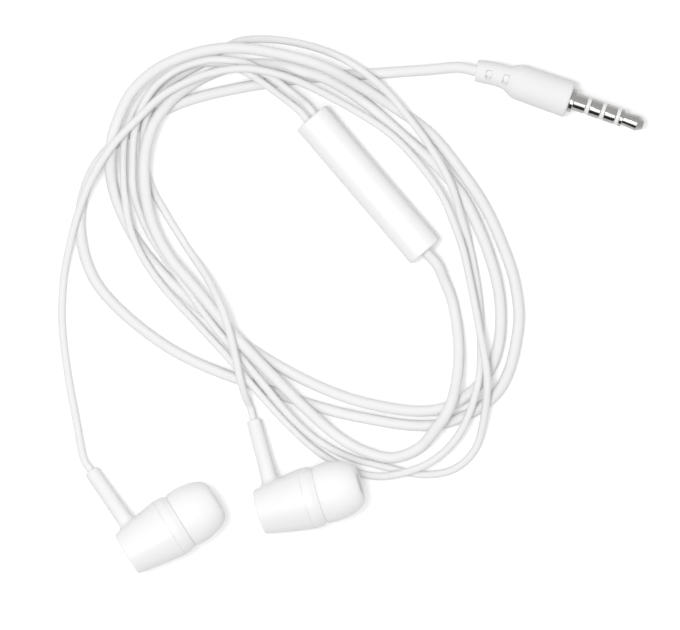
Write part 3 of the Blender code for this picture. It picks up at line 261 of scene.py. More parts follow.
class EarphoneSizes(bpy.types.PropertyGroup):
    """Small sizes of the visible finish."""

    seam_gap: length("Seam gap", "Width of the fine line between two shells", 0.02, 0.01, 0.4)
    shell_bulge: length("Shell bulge", "How far the rear shell's side swells half-way", 0.1, 0.0, 0.5)
    boot_blend: length("Boot blend", "Radius of the saddle where the boot meets the shell", 0.9, 0.3, 1.6)
    slot_depth: length("Slot depth", "Depth of the flexing slots in the plug's grip", 1.15, 0.1, 1.2)
    slot_roll: FloatProperty(name="Slot roll", description="Turn of the slots about the grip's own line",
                             default=math.radians(-14.0), min=-math.pi, max=math.pi, subtype="ANGLE")


class EarphoneColours(bpy.types.PropertyGroup):
    """Colours of the visible finishes."""

    plastic: tint("Plastic", "White gloss plastic of the shells and the remote", 0.9, 0.9, 0.9)
    silicone: tint("Silicone", "Soft white of the ear tips", 0.94, 0.94, 0.94)
    rubber: tint("Rubber", "White rubber of the boots and the plug's grip", 0.95, 0.95, 0.95)
    cord: tint("Cord", "White jacket of the cords", 0.95, 0.95, 0.95)
    nickel: tint("Nickel", "Plating of the plug's contacts", 0.54, 0.535, 0.52)
    floor: tint("Floor", "The surface that the earphones lie on", 0.8, 0.8, 0.8)


def sizes():
    """The size settings of the open scene."""
    return bpy.context.scene.earphone_sizes


def colours():
    """The colour settings of the open scene."""
    return bpy.context.scene.earphone_colours


# Meshes from grids of points

def new_object(name, data):
    """An object linked to the open scene."""
    made = bpy.data.objects.new(name, data)
    bpy.context.scene.collection.objects.link(made)
    return made


def grid_faces(rows, columns, loop):
    """Quads of a grid whose columns close round; with loop its last row also joins its first."""
    row = np.arange(rows if loop else rows - 1)[:, None]
    column = np.arange(columns)[None, :]
    below = (row + 1) % rows
    beside = (column + 1) % columns
    corners = (row * columns + column, row * columns + beside,
               below * columns + beside, below * columns + column)
    return np.stack(np.broadcast_arrays(*corners), -1).reshape(-1, 4)


def solid(name, vertices, faces, finish, body="earphones"):
    """Make a closed mesh piece that rides on a body.

    The volume is a sixth of the sum of a . (b x c) over the triangles abc; where that is
    negative the faces point inwards, and every face is turned round.
    """
    triangles = np.vstack([face[:, [0, turn, turn + 1]]
                           for face in faces for turn in range(1, face.shape[1] - 1)])
    a, b, c = (vertices[triangles[:, corner]] for corner in range(3))
    if np.einsum("ij,ij->", a, np.cross(b, c)) < 0.0:
        faces = [face[:, ::-1] for face in faces]
    mesh = bpy.data.meshes.new(name)
    mesh.from_pydata(vertices.tolist(), [], [corners for face in faces for corners in face.tolist()])
    mesh.shade_smooth()
    mesh.set_sharp_from_angle(angle=math.radians(38.0))
    mesh.materials.append(finish)
    piece = new_object(name, mesh)
    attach(piece, body)
    return piece


def skin(name, grid, finish, start=None, end=None, body="earphones"):
    """Closed surface over a grid of points; rows follow the profile and columns go round.

    start and end are the points that close the first and the last row. Without them the last
    row joins the first.
    """
    rows, columns = grid.shape[:2]
    vertices = grid.reshape(-1, 3)
    faces = [grid_faces(rows, columns, start is None)]
    if start is not None:
        first = np.arange(columns)
        last = first + (rows - 1) * columns
        pole = np.full(columns, len(vertices))
        vertices = np.vstack([vertices, start, end])
        faces.append(np.stack([np.roll(first, -1), first, pole], 1))
        faces.append(np.stack([last, np.roll(last, -1), pole + 1], 1))
    return solid(name, vertices, faces, finish, body)


def sheet_quads(rows, columns):
    """Index grid of an open sheet, and its quads."""
    index = np.arange(rows * columns).reshape(rows, columns)
    corners = (index[:-1, :-1], index[:-1, 1:], index[1:, 1:], index[1:, :-1])
    return index, np.stack(corners, -1).reshape(-1, 4)


def sheet_solid(name, outer, inner, finish, body="earphones"):
    """Closed wall between two grids of the same shape, an outer and an inner sheet."""
    index, quads = sheet_quads(*outer.shape[:2])
    count = index.size
    rim = np.concatenate([index[0, :-1], index[:-1, -1], index[-1, :0:-1], index[:0:-1, 0]])
    after = np.roll(rim, -1)
    edge = np.stack([after, rim, rim + count, after + count], 1)
    vertices = np.vstack([outer.reshape(-1, 3), inner.reshape(-1, 3)])
    return solid(name, vertices, [quads, quads[:, ::-1] + count, edge], finish, body)


def placed(points, matrix):
    """Points moved by a 4 x 4 matrix."""
    turn = np.array(matrix)
    return points @ turn[:3, :3].T + turn[:3, 3]


def turned_grid(outline, matrix, sides=ROUND_SIDES):
    """Grid of a turned surface: (radius, height) of the outline, at equal angles about Z."""
    outline = np.array(outline, float)
    angle = np.arange(sides) * math.tau / sides
    radius = outline[:, :1]
    height = np.broadcast_to(outline[:, 1:], (len(outline), sides))
    return placed(np.stack([radius * np.cos(angle), radius * np.sin(angle), height], -1), matrix)


def turned(name, outline, matrix, finish, body="earphones", sides=ROUND_SIDES):
    """Turned piece from a (radius, height) outline.

    An outline that starts and ends on the axis is closed with a point at each end, and any
    other is closed into a ring.
    """
    outline = np.array(outline, float)
    if outline[0, 0] > 0.0:
        return skin(name, turned_grid(outline, matrix, sides), finish, body=body)
    grid = turned_grid(outline[1:-1], matrix, sides)
    ends = placed(np.array([(0.0, 0.0, outline[0, 1]), (0.0, 0.0, outline[-1, 1])]), matrix)
    return skin(name, grid, finish, ends[0], ends[1], body)


def rounded(corners, closed=False):
    """Outline through (x, y, radius) corners, each rounded with an arc tangent to its sides."""
    corners = np.array(corners, float)
    points = []
    for index, radius in enumerate(corners[:, 2]):
        here = corners[index, :2]
        at_end = not closed and index in (0, len(corners) - 1)
        if at_end or radius <= 0.0:
            points.append(here[None])
            continue
        before = corners[index - 1, :2] - here
        after = corners[(index + 1) % len(corners), :2] - here
        run_in, run_out = np.linalg.norm(before), np.linalg.norm(after)
        before, after = before / run_in, after / run_out
        half = math.acos(float(np.clip(before @ after, -1.0, 1.0))) / 2
        reach = min(radius / math.tan(half), 0.49 * run_in, 0.49 * run_out)
        middle = (before + after) / np.linalg.norm(before + after)
        centre = here + middle * reach / math.cos(half)
        arm = reach * math.tan(half)
        start = (here + before * reach - centre) / arm
        side = (here + after * reach - centre) / arm
        sweep = math.pi - 2 * half
        share = np.linspace(0.0, 1.0, 7)[:, None]
        points.append(centre + arm * (np.sin((1 - share) * sweep) * start + np.sin(share * sweep) * side)
                      / math.sin(sweep))
    return np.vstack(points)


# Places of the assemblies

def earbud_matrix(side):
    """World matrix of an earbud: Z along its axis to the ear tip, X along its cable boot."""
    place = EARBUDS[side]
    heading = Vector((math.cos(place["heading"]), math.sin(place["heading"]), 0.0))
    axis = heading * math.cos(place["pitch"]) + Vector((0.0, 0.0, math.sin(place["pitch"])))
    across = Vector((-heading.y, heading.x, 0.0))
    above = axis.cross(across)
    boot = across * math.cos(place["roll"]) - above * math.sin(place["roll"])
    height = SEAM_RADIUS * math.cos(place["pitch"]) - SEAM_HEIGHT * math.sin(place["pitch"])
    turn = Matrix((boot, axis.cross(boot), axis)).transposed().to_4x4()
    return Matrix.Translation((*place["rear"], height)) @ turn


def boot_matrix(side):
    """Matrix, within the earbud, of its cable boot: Z runs out along the boot."""
    lean = EARBUDS[side]["lean"]
    return Matrix.Translation((0.0, 0.0, BOOT_HEIGHT)) @ Matrix.Rotation(math.pi / 2 + lean, 4, "Y")


def remote_matrix():
    """World matrix of the remote: X along it, towards the main cord."""
    return Matrix.Translation((*REMOTE_PLACE, 0.0)) @ Matrix.Rotation(REMOTE_HEADING, 4, "Z")


def plug_matrix():
    """World matrix of the plug: Z along its contacts, X up."""
    heading = Vector((math.cos(PLUG_HEADING), math.sin(PLUG_HEADING), 0.0))
    up = Vector((0.0, 0.0, 1.0))
    turn = Matrix((up, heading.cross(up), heading)).transposed().to_4x4()
    return Matrix.Translation((*PLUG_PLACE, GRIP_RADIUS)) @ turn


# Finishes

def new_group(name, colour, numbers):
    """An empty shader node group, and its input and output nodes.

    It takes a vector, a colour and the named numbers, and gives a colour, a roughness and a
    height.
    """
    group = bpy.data.node_groups.new(name, "ShaderNodeTree")
    sockets = [("Vector", "NodeSocketVector", (0.0, 0.0, 0.0)), ("Colour", "NodeSocketColor", (*colour, 1.0))]
    sockets += [(label, "NodeSocketFloat", value) for label, value in numbers.items()]
    for label, kind, value in sockets:
        group.interface.new_socket(name=label, in_out="INPUT", socket_type=kind).default_value = value
    for label, kind in (("Colour", "Color"), ("Roughness", "Float"), ("Height", "Float")):
        group.interface.new_socket(name=label, in_out="OUTPUT", socket_type=f"NodeSocket{kind}")
    return group, group.nodes.new("NodeGroupInput"), group.nodes.new("NodeGroupOutput")


def math_node(tree, operation, first, second=None, third=None):
    """A Math node whose inputs are sockets or numbers; gives its output socket."""
    node = tree.nodes.new("ShaderNodeMath")
    node.operation = operation
    for socket, value in zip(node.inputs, (first, second, third)):
        if isinstance(value, (int, float)):
            socket.default_value = value
        elif value is not None:
            tree.links.new(value, socket)
    return node.outputs[0]


def centred(group, noise):
    """A noise or a sum of noises, less a half."""
    return math_node(group, "SUBTRACT", noise, 0.5)


def close_group(group, start, end, tone, amount, dulling, spread, height):
    """Join up a group's outputs.

    The colour is multiplied by 1 + tone x amount, dulling x spread is added to the roughness,
    and the height passes through.
    """
    scaled = group.nodes.new("ShaderNodeVectorMath")
    scaled.operation = "SCALE"
    group.links.new(start.outputs["Colour"], scaled.inputs[0])
    group.links.new(math_node(group, "MULTIPLY_ADD", tone, amount, 1.0), scaled.inputs["Scale"])
    group.links.new(scaled.outputs[0], end.inputs["Colour"])
    rough = math_node(group, "MULTIPLY_ADD", dulling, spread, start.outputs["Roughness"])
    group.links.new(rough, end.inputs["Roughness"])
    group.links.new(height, end.inputs["Height"])


def moulded_surface():
    """Group for moulded plastic, rubber and silicone.

    A broad noise shifts the colour a little, its sum with a fine noise shifts the roughness,
    and the fine one is the height of the grain.
    """
    name = "moulded_surface"
    if name in bpy.data.node_groups:
        return bpy.data.node_groups[name]
    group, start, end = new_group(name, (0.8, 0.8, 0.8), {
        "Mottle": 0.02, "Roughness": 0.4, "Roughness Spread": 0.08, "Broad Scale": 300.0,
        "Grain Scale": 5000.0})
    noises = []
    for scale, detail in (("Broad Scale", 3.0), ("Grain Scale", 2.0)):
        noise = group.nodes.new("ShaderNodeTexNoise")
        noise.inputs["Detail"].default_value = detail
        group.links.new(start.outputs["Vector"], noise.inputs["Vector"])
        group.links.new(start.outputs[scale], noise.inputs["Scale"])
        noises.append(noise.outputs["Fac"])
    broad, fine = noises
    swing = centred(group, broad)
    grain = math_node(group, "ADD", swing, fine)
    close_group(group, start, end, swing, start.outputs["Mottle"], centred(group, grain),
                start.outputs["Roughness Spread"], fine)
    return group


def turned_metal():
    """Group for turned and plated metal: fine rings about Z, and a soft cloud of tarnish."""
    name = "turned_metal"
    if name in bpy.data.node_groups:
        return bpy.data.node_groups[name]
    group, start, end = new_group(name, (0.7, 0.7, 0.7), {
        "Tarnish": 0.06, "Roughness": 0.2, "Ring Scale": 9000.0})
    along = group.nodes.new("ShaderNodeSeparateXYZ")
    group.links.new(start.outputs["Vector"], along.inputs[0])
    rings = group.nodes.new("ShaderNodeTexNoise")
    rings.noise_dimensions = "1D"
    rings.inputs["Detail"].default_value = 3.0
    group.links.new(along.outputs["Z"], rings.inputs["W"])
    group.links.new(start.outputs["Ring Scale"], rings.inputs["Scale"])
    cloud = group.nodes.new("ShaderNodeTexNoise")
    cloud.inputs["Scale"].default_value = TARNISH_SCALE
    group.links.new(start.outputs["Vector"], cloud.inputs["Vector"])
    close_group(group, start, end, centred(group, cloud.outputs["Fac"]), start.outputs["Tarnish"],
                centred(group, rings.outputs["Fac"]), RING_SPREAD, rings.outputs["Fac"])
    return group


def finish(name, group, colour, bump, values=None, shader_values=None, matrix=None):
    """Material whose colour, roughness and bump come from a group on Object coordinates.

    matrix, where given, is the assembly whose own Z the pattern follows.
    """
    if name in bpy.data.materials:
        return bpy.data.materials[name]
    material = bpy.data.materials.new(name)
    material.use_nodes = True
    tree = material.node_tree
    shader = tree.nodes["Principled BSDF"]
    place = tree.nodes.new("ShaderNodeTexCoord").outputs["Object"]
    if matrix is not None:
        mapping = tree.nodes.new("ShaderNodeMapping")
        mapping.vector_type = "TEXTURE"
        mapping.inputs["Location"].default_value = matrix.to_translation()
        mapping.inputs["Rotation"].default_value = matrix.to_euler()
        tree.links.new(place, mapping.inputs["Vector"])
        place = mapping.outputs["Vector"]
    effect = tree.nodes.new("ShaderNodeGroup")
    effect.node_tree = group
    effect.inputs["Colour"].default_value = (*colour, 1.0)
    for label, value in (values or {}).items():
        effect.inputs[label].default_value = value
    tree.links.new(place, effect.inputs["Vector"])
    tree.links.new(effect.outputs["Colour"], shader.inputs["Base Color"])
    tree.links.new(effect.outputs["Roughness"], shader.inputs["Roughness"])
    relief = tree.nodes.new("ShaderNodeBump")
    relief.inputs["Distance"].default_value = bump
    relief.inputs["Strength"].default_value = 0.5
    tree.links.new(effect.outputs["Height"], relief.inputs["Height"])
    tree.links.new(relief.outputs["Normal"], shader.inputs["Normal"])
    for label, value in (shader_values or {}).items():
        shader.inputs[label].default_value = value
    return material


def white_plastic():
    """Gloss white plastic of the shells and the remote."""
    return finish("gloss_white_plastic", moulded_surface(), colours().plastic, 0.0004 * MM,
                  {"Roughness": 0.35, "Roughness Spread": 0.015, "Grain Scale": FINE_GRAIN, "Mottle": 0.008},
                  {"Specular IOR Level": 0.45, "Coat Weight": 0.15, "Coat Roughness": 0.2})


def silicone():
    """Soft white silicone of the ear tips."""
    return finish("soft_white_silicone", moulded_surface(), colours().silicone, 0.003 * MM,
                  {"Roughness": 0.46, "Grain Scale": FINE_GRAIN, "Mottle": 0.02},
                  {"Subsurface Weight": 0.25, "Subsurface Scale": 1.0 * MM,
                   "Subsurface Radius": (1.0, 1.0, 1.0), "Specular IOR Level": 0.4})


def white_rubber():
    """White rubber of the boots, the grommets and the plug's grip."""
    return finish("white_rubber", moulded_surface(), colours().rubber, 0.003 * MM,
                  {"Roughness": 0.34, "Roughness Spread": 0.04, "Grain Scale": FINE_GRAIN, "Mottle": 0.012})


def cord_jacket():
    """Satin white jacket of the cords."""
    return finish("cord_jacket", moulded_surface(), colours().cord, 0.003 * MM,
                  {"Roughness": 0.4, "Grain Scale": FINE_GRAIN, "Mottle": 0.02, "Broad Scale": 120.0})


def nickel():
    """Plated nickel of the plug's contacts, with turning rings about the plug's own line."""
    return finish("plated_nickel", turned_metal(), colours().nickel, 0.002 * MM,
                  {"Roughness": 0.16, "Tarnish": 0.08}, {"Metallic": 1.0}, plug_matrix())


def insulator():
    """Off-white plastic of the rings between the plug's contacts."""
    return finish("insulator_plastic", moulded_surface(), INSULATOR_COLOUR, 0.001 * MM,
                  {"Roughness": 0.34, "Grain Scale": FINE_GRAIN})


# Earbuds

def shell_radius(height):
    """Outer radius of the rear shell: a straight taper plus a parabola that swells its middle."""
    share = np.clip(height / SEAM_HEIGHT, 0.0, 1.0)
    taper = REAR_RADIUS + (SEAM_RADIUS - REAR_RADIUS) * share
    return taper + 4.0 * sizes().shell_bulge * share * (1.0 - share)


def build_rear_shell(side):
    """Cup: flat rear face, a rounded edge, the swelling side, the rim and the inner wall."""
    edge = 0.4 * MM
    low = shell_radius(edge)
    rear_edge = np.stack([low - edge + edge * np.sin(ARC), edge - edge * np.cos(ARC)], 1)
    heights = np.linspace(edge, SEAM_HEIGHT - 0.1 * MM, 40)[1:]
    wall = np.stack([shell_radius(heights), heights], 1)
    rim = rounded([(SEAM_RADIUS, SEAM_HEIGHT - 0.3 * MM, 0.0), (SEAM_RADIUS, SEAM_HEIGHT, 0.03 * MM),
                   (SEAM_RADIUS - SHELL_WALL, SEAM_HEIGHT, 0.1 * MM),
                   (REAR_RADIUS - SHELL_WALL, SHELL_WALL, 0.6 * MM), (0.0, SHELL_WALL, 0.0)])
    outline = np.vstack([[(0.0, 0.0)], rear_edge, wall, rim[1:]])
    piece = turned(f"{side}_rear_cup", outline, earbud_matrix(side), white_plastic())
    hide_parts(f"{side}_rear_shell")
    return piece


def build_front_shell(side):
    """Front cover: a ring that draws in past the seam, a rounded shoulder, and the barbed nozzle."""
    seam = SEAM_HEIGHT + sizes().seam_gap
    outline = rounded([
        (SEAM_RADIUS, seam, 0.03 * MM),
        (SEAM_RADIUS - 0.1 * MM, seam + 1.5 * MM, 1.4 * MM),
        (FRONT_RADIUS, FRONT_WALL, 0.12 * MM),
        (NOZZLE_RADIUS, FRONT_WALL, 0.3 * MM),
        (NOZZLE_RADIUS, NOZZLE_END - BARB_LENGTH, 0.0),
        (BARB_RADIUS, NOZZLE_END - BARB_LENGTH, 0.1 * MM),
        (BARB_RADIUS, NOZZLE_END, 0.3 * MM),
        (NOZZLE_BORE, NOZZLE_END, 0.15 * MM),
        (NOZZLE_BORE, FRONT_WALL - SHELL_WALL, 0.0),
        (CHAMBER_RADIUS, FRONT_WALL - SHELL_WALL, 0.2 * MM),
        (CHAMBER_RADIUS, LIP_START, 0.0),
        (LIP_RADIUS, LIP_START, 0.1 * MM),
        (LIP_RADIUS, seam, 0.0),
    ], closed=True)
    piece = turned(f"{side}_front_cap", outline, earbud_matrix(side), white_plastic())
    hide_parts(f"{side}_front_shell")
    return piece


def build_ear_tip(side):
    """Silicone tip: a skirt, an elliptic dome with a flat front and a round mouth, and a core.

    The skirt swells by a sine from its back to the widest circle. From there the dome's radius
    is F + (W - F) cos t and its height H + (L - H) sin t, for a flat front of radius F, a widest
    radius W at the height H and a length L.
    """
    lobe = np.linspace(0.0, math.pi / 2, 28)
    skirt = np.linspace(0.0, 1.0, 12)[:-1]
    edge = 0.4 * MM
    step = TIP_SKIRT_RADIUS - FRONT_RADIUS
    back_edge = np.stack([TIP_SKIRT_RADIUS - step * (1.0 - np.sin(ARC)),
                          TIP_BACK + edge * (1.0 - np.cos(ARC))], 1)
    rise = TIP_BACK + edge + (TIP_WIDEST - TIP_BACK - edge) * skirt
    swell = TIP_SKIRT_RADIUS + (TIP_RADIUS - TIP_SKIRT_RADIUS) * np.sin(skirt * math.pi / 2)
    dome = np.stack([TIP_FRONT_RADIUS + (TIP_RADIUS - TIP_FRONT_RADIUS) * np.cos(lobe),
                     TIP_WIDEST + (TIP_FRONT - TIP_WIDEST) * np.sin(lobe)], 1)
    inner_end = NOZZLE_END + TIP_CLEARANCE
    core = TIP_BORE + TIP_WALL
    core_end = FRONT_WALL + TIP_CLEARANCE
    mouth = rounded([(TIP_FRONT_RADIUS, TIP_FRONT, 0.0), (TIP_MOUTH_RADIUS, TIP_FRONT, 0.6 * MM),
                     (TIP_MOUTH_RADIUS, inner_end, 0.1 * MM), (TIP_BORE, inner_end, 0.1 * MM),
                     (TIP_BORE, core_end, 0.1 * MM), (core, core_end, 0.2 * MM),
                     (core, TIP_WIDEST, 0.0)])[1:-1]
    inner = np.stack([core + (TIP_RADIUS - TIP_WALL - core) * np.cos(lobe[::-1]),
                      TIP_WIDEST + (TIP_FRONT - 2 * TIP_WALL - TIP_WIDEST) * np.sin(lobe[::-1])], 1)
    inside = np.stack([swell[::-1] - TIP_WALL, rise[::-1]], 1)
    outline = np.vstack([back_edge, np.stack([swell, rise], 1)[1:], dome, mouth, inner, inside[:-1]])
    piece = turned(f"{side}_silicone_tip", outline, earbud_matrix(side), silicone(), f"{side}_tip")
    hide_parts(f"{side}_ear_tip")
    return piece


def build_cable_boot(side):
    """Boot with a saddle foot on the rear shell.

    Along the boot each row is a circle. In the foot, row t is at the distance
    r + R (1 - cos t) from the boot's line and at the height R (1 - sin t) over the shell, for a
    boot radius r and a blend radius R, so the foot leaves the boot and meets the shell smoothly.
    """
    blend = sizes().boot_blend
    own = boot_matrix(side)
    angle = np.arange(ROUND_SIDES) * math.tau / ROUND_SIDES
    away = BOOT_BASE_RADIUS + blend * (1.0 - np.cos(ARC))[:, None]
    away = np.broadcast_to(away, (len(ARC), ROUND_SIDES))
    flat = np.stack([away * np.cos(angle), away * np.sin(angle)], -1)
    level = np.full(away.shape, SEAM_RADIUS)
    for _ in range(12):
        spot = placed(np.concatenate([flat, level[..., None]], -1), own)
        level = level + shell_radius(spot[..., 2]) - np.hypot(spot[..., 0], spot[..., 1])
    lift = blend * (1.0 - np.sin(ARC))[:, None]
    foot = np.concatenate([flat, (level + lift)[..., None]], -1)
    sunk = foot[-1:] - np.array((0.0, 0.0, 0.15 * MM))
    hole = BRANCH_CORD_DIAMETER / 2 + CORD_CLEARANCE
    hole_end = BOOT_REACH - BOOT_HOLE_DEPTH
    nose = rounded([(0.0, hole_end, 0.0), (hole, hole_end, 0.0),
                    (hole, BOOT_REACH, 0.12 * MM), (BOOT_END_RADIUS, BOOT_REACH, 0.35 * MM),
                    (BOOT_END_RADIUS, BOOT_REACH - 1.0 * MM, 0.0)])[1:]
    nose = turned_grid(nose, Matrix.Identity(4))
    share = np.linspace(0.0, 1.0, 24)[1:-1, None, None]
    shank = nose[-1:] + (foot[:1] - nose[-1:]) * share
    rows = np.vstack([nose, shank, foot, sunk])
    matrix = earbud_matrix(side) @ own
    ends = placed(np.array([(0.0, 0.0, hole_end), (0.0, 0.0, SEAM_RADIUS - 2.0 * MM)]), matrix)
    piece = skin(f"{side}_strain_relief", placed(rows, matrix), white_rubber(), ends[0], ends[1])
    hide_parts(f"{side}_cable_boot")
    return piece


# Remote

def case_section(inset, edge, count=25):
    """Upper half of the remote's section, from one parting edge over the top to the other.

    Two quarter circles of the top rounding, less the inset, are joined by straight lines.
    """
    half = REMOTE_WIDTH / 2 - inset
    arm = REMOTE_TOP_ROUND - inset
    turn = np.linspace(0.0, math.pi / 2, count)
    centre_y = REMOTE_WIDTH / 2 - REMOTE_TOP_ROUND
    centre_z = REMOTE_HEIGHT - REMOTE_TOP_ROUND
    left = np.stack([-centre_y - arm * np.cos(turn), centre_z + arm * np.sin(turn)], 1)
    right = left[::-1] * (-1.0, 1.0)
    return np.vstack([[(-half, edge)], left, right, [(half, edge)]])


def case_sheet(length, inset, end_round, edge, hole):
    """Grid of the remote's cover: hole rim, end face, rounded end, the long run, and mirrored."""
    run = np.linspace(0.0, length / 2 - end_round, 16)[::-1]
    rows = []
    start = case_section(inset + end_round, edge)
    low = math.asin((edge - REMOTE_HEIGHT / 2) / hole)
    sweep = np.linspace(math.pi - low, low, len(start))
    ring = np.stack([hole * np.cos(sweep), REMOTE_HEIGHT / 2 + hole * np.sin(sweep)], 1)
    for share in np.linspace(0.0, 1.0, 5)[:-1]:
        rows.append((length / 2, ring + (start - ring) * share))
    for turn in ARC[::-1]:
        rows.append((length / 2 - end_round * (1.0 - math.sin(turn)),
                     case_section(inset + end_round * (1.0 - math.cos(turn)), edge)))
    for x in run[1:]:
        rows.append((x, case_section(inset, edge)))
    half = np.array([np.column_stack([np.full(len(section), x), section]) for x, section in rows])
    other = half[-2::-1] * (-1.0, 1.0, 1.0)
    return np.vstack([half, other])


def build_remote_cover():
    """Upper half of the remote's casing as a wall between two sheets."""
    edge = REMOTE_HEIGHT / 2 - 0.15 * MM + sizes().seam_gap
    hole = GROMMET_RADIUS + 0.02 * MM
    outer = case_sheet(REMOTE_LENGTH, 0.0, 0.4 * MM, edge, hole)
    inner = case_sheet(REMOTE_LENGTH - 2 * REMOTE_WALL, REMOTE_WALL, 0.3 * MM, edge, hole)
    matrix = remote_matrix()
    piece = sheet_solid("remote_top_case", placed(outer, matrix), placed(inner, matrix), white_plastic())
    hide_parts("remote_cover")
    return piece


def build_grommet(name, end):
    """Rubber grommet in an end wall, its outer face a little domed."""
    near, far = -REMOTE_WALL - GROMMET_LIP_START, -REMOTE_WALL - GROMMET_LIP_END
    lip = GROMMET_RADIUS + GROMMET_LIP
    outline = rounded([
        (0.0, 0.05 * MM, 0.0), (GROMMET_RADIUS, 0.0, 0.15 * MM), (GROMMET_RADIUS, near, 0.0),
        (lip, near, 0.05 * MM), (lip, far, 0.1 * MM), (0.0, far, 0.0)])
    place = Matrix.Translation((end * REMOTE_LENGTH / 2, 0.0, REMOTE_HEIGHT / 2))
    matrix = remote_matrix() @ place @ Matrix.Rotation(end * math.pi / 2, 4, "Y")
    piece = turned(f"{name}_seal", outline, matrix, white_rubber())
    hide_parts(f"{name}_grommet")
    return piece


# Plug

def grip_line(distance):
    """Centre and backward direction at distances back from the grip's front face.

    The direction turns evenly by the grip's bend behind the flare, and the centre is the sum
    of short straight moves along it.
    """
    fine = np.linspace(0.0, GRIP_LENGTH + GRIP_FLARE_LENGTH + GRIP_NECK_LENGTH, 400)
    bend_start = GRIP_LENGTH + GRIP_FLARE_LENGTH
    angle = GRIP_BEND * np.clip((fine - bend_start) / GRIP_BEND_LENGTH, 0.0, 1.0)
    step = fine[1] - fine[0]
    middle = (angle[1:] + angle[:-1]) / 2
    y = np.concatenate([[0.0], np.cumsum(np.sin(middle) * step)])
    z = np.concatenate([[0.0], np.cumsum(-np.cos(middle) * step)])
    turn = np.interp(distance, fine, angle)
    zero = np.zeros_like(distance)
    centre = np.stack([zero, np.interp(distance, fine, y), np.interp(distance, fine, z)], -1)
    return centre, np.stack([zero, np.sin(turn), -np.cos(turn)], -1)


def slot_depth_at(distance, angle):
    """Depth of the slots at distances back and angles about the grip.

    Each slot is a rounded box in the plane of arc length and distance, with soft walls. Its
    floor lies at a share of the slot's depth, and drops in a straight run to all of it near
    one end.
    """
    arc = (angle - sizes().slot_roll + math.pi / 2) % math.pi - math.pi / 2
    arc = arc * GRIP_NECK_FRONT_RADIUS
    drop = (SLOT_DROP_START - arc) / SLOT_DROP_RUN
    sink = SLOT_FLOOR + (1.0 - SLOT_FLOOR) * np.clip(drop, 0.0, 1.0)
    depth = np.zeros(np.broadcast(distance, angle).shape)
    corner = 0.45 * SLOT_LENGTH
    for number in range(SLOTS):
        middle = GRIP_LENGTH + GRIP_FLARE_LENGTH - SLOT_INTO_FLARE + number * SLOT_PITCH
        beyond_x = np.maximum(np.abs(distance - middle) - SLOT_LENGTH / 2 + corner, 0.0)
        beyond_y = np.maximum(np.abs(arc) - SLOT_WIDTH / 2 + corner, 0.0)
        outside = np.hypot(beyond_x, beyond_y) - corner
        depth = np.maximum(depth, np.clip(0.5 - outside / SLOT_WALL_RUN, 0.0, 1.0))
    return depth * sink * sizes().slot_depth


def build_plug_grip():
    """Grip: circles about its bent line, with a cosine flare from the body to the neck."""
    flare_end = GRIP_LENGTH + GRIP_FLARE_LENGTH
    rear = flare_end + GRIP_NECK_LENGTH
    edge = 0.5 * MM
    front = np.stack([edge * (1.0 - np.cos(ARC)), GRIP_RADIUS - edge * (1.0 - np.sin(ARC))], 1)
    run = np.linspace(edge, GRIP_LENGTH, 12)[1:-1]
    body = np.stack([run, np.interp(run, [edge, GRIP_LENGTH], [GRIP_RADIUS, GRIP_BODY_REAR_RADIUS])], 1)
    share = np.linspace(0.0, 1.0, 60)
    ease = (1.0 + np.cos(math.pi * share)) / 2
    flare = np.stack([GRIP_LENGTH + GRIP_FLARE_LENGTH * share,
                      GRIP_NECK_FRONT_RADIUS + (GRIP_BODY_REAR_RADIUS - GRIP_NECK_FRONT_RADIUS) * ease], 1)
    along = np.linspace(flare_end, rear - 0.25 * MM, 90)[1:]
    neck_radii = [GRIP_NECK_FRONT_RADIUS, GRIP_NECK_REAR_RADIUS]
    neck = np.stack([along, np.interp(along, [flare_end, rear], neck_radii)], 1)
    hole = MAIN_CORD_DIAMETER / 2 + CORD_CLEARANCE
    hole_end = rear - GRIP_HOLE_DEPTH
    back = rounded([(rear - 0.25 * MM, GRIP_NECK_REAR_RADIUS, 0.0), (rear, GRIP_NECK_REAR_RADIUS, 0.2 * MM),
                    (rear, hole, 0.12 * MM), (hole_end, hole, 0.0)])[1:]
    stations = np.vstack([[(0.0, CONTACT_RADIUS + 0.05 * MM)], front, body, flare, neck, back])
    centre, backward = grip_line(stations[:, 0])
    across = np.cross(backward, (1.0, 0.0, 0.0))
    angle = np.arange(2 * ROUND_SIDES) * math.tau / (2 * ROUND_SIDES)
    radius = stations[:, 1:] - slot_depth_at(stations[:, :1], angle[None])
    outside = stations[:, 1:] >= GRIP_OUTSIDE_RADIUS
    radius = np.where(outside, radius, stations[:, 1:])
    ring = (np.cos(angle)[None, :, None] * np.array((1.0, 0.0, 0.0))
            + np.sin(angle)[None, :, None] * across[:, None])
    matrix = plug_matrix()
    grid = placed(centre[:, None] + radius[..., None] * ring, matrix)
    inside, _ = grip_line(np.array([hole_end]))
    ends = placed(np.vstack([[(0.0, 0.0, 0.0)], inside]), matrix)
    piece = skin("plug_moulded_grip", grid, white_rubber(), ends[0], ends[1])
    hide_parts("plug_grip")
    return piece


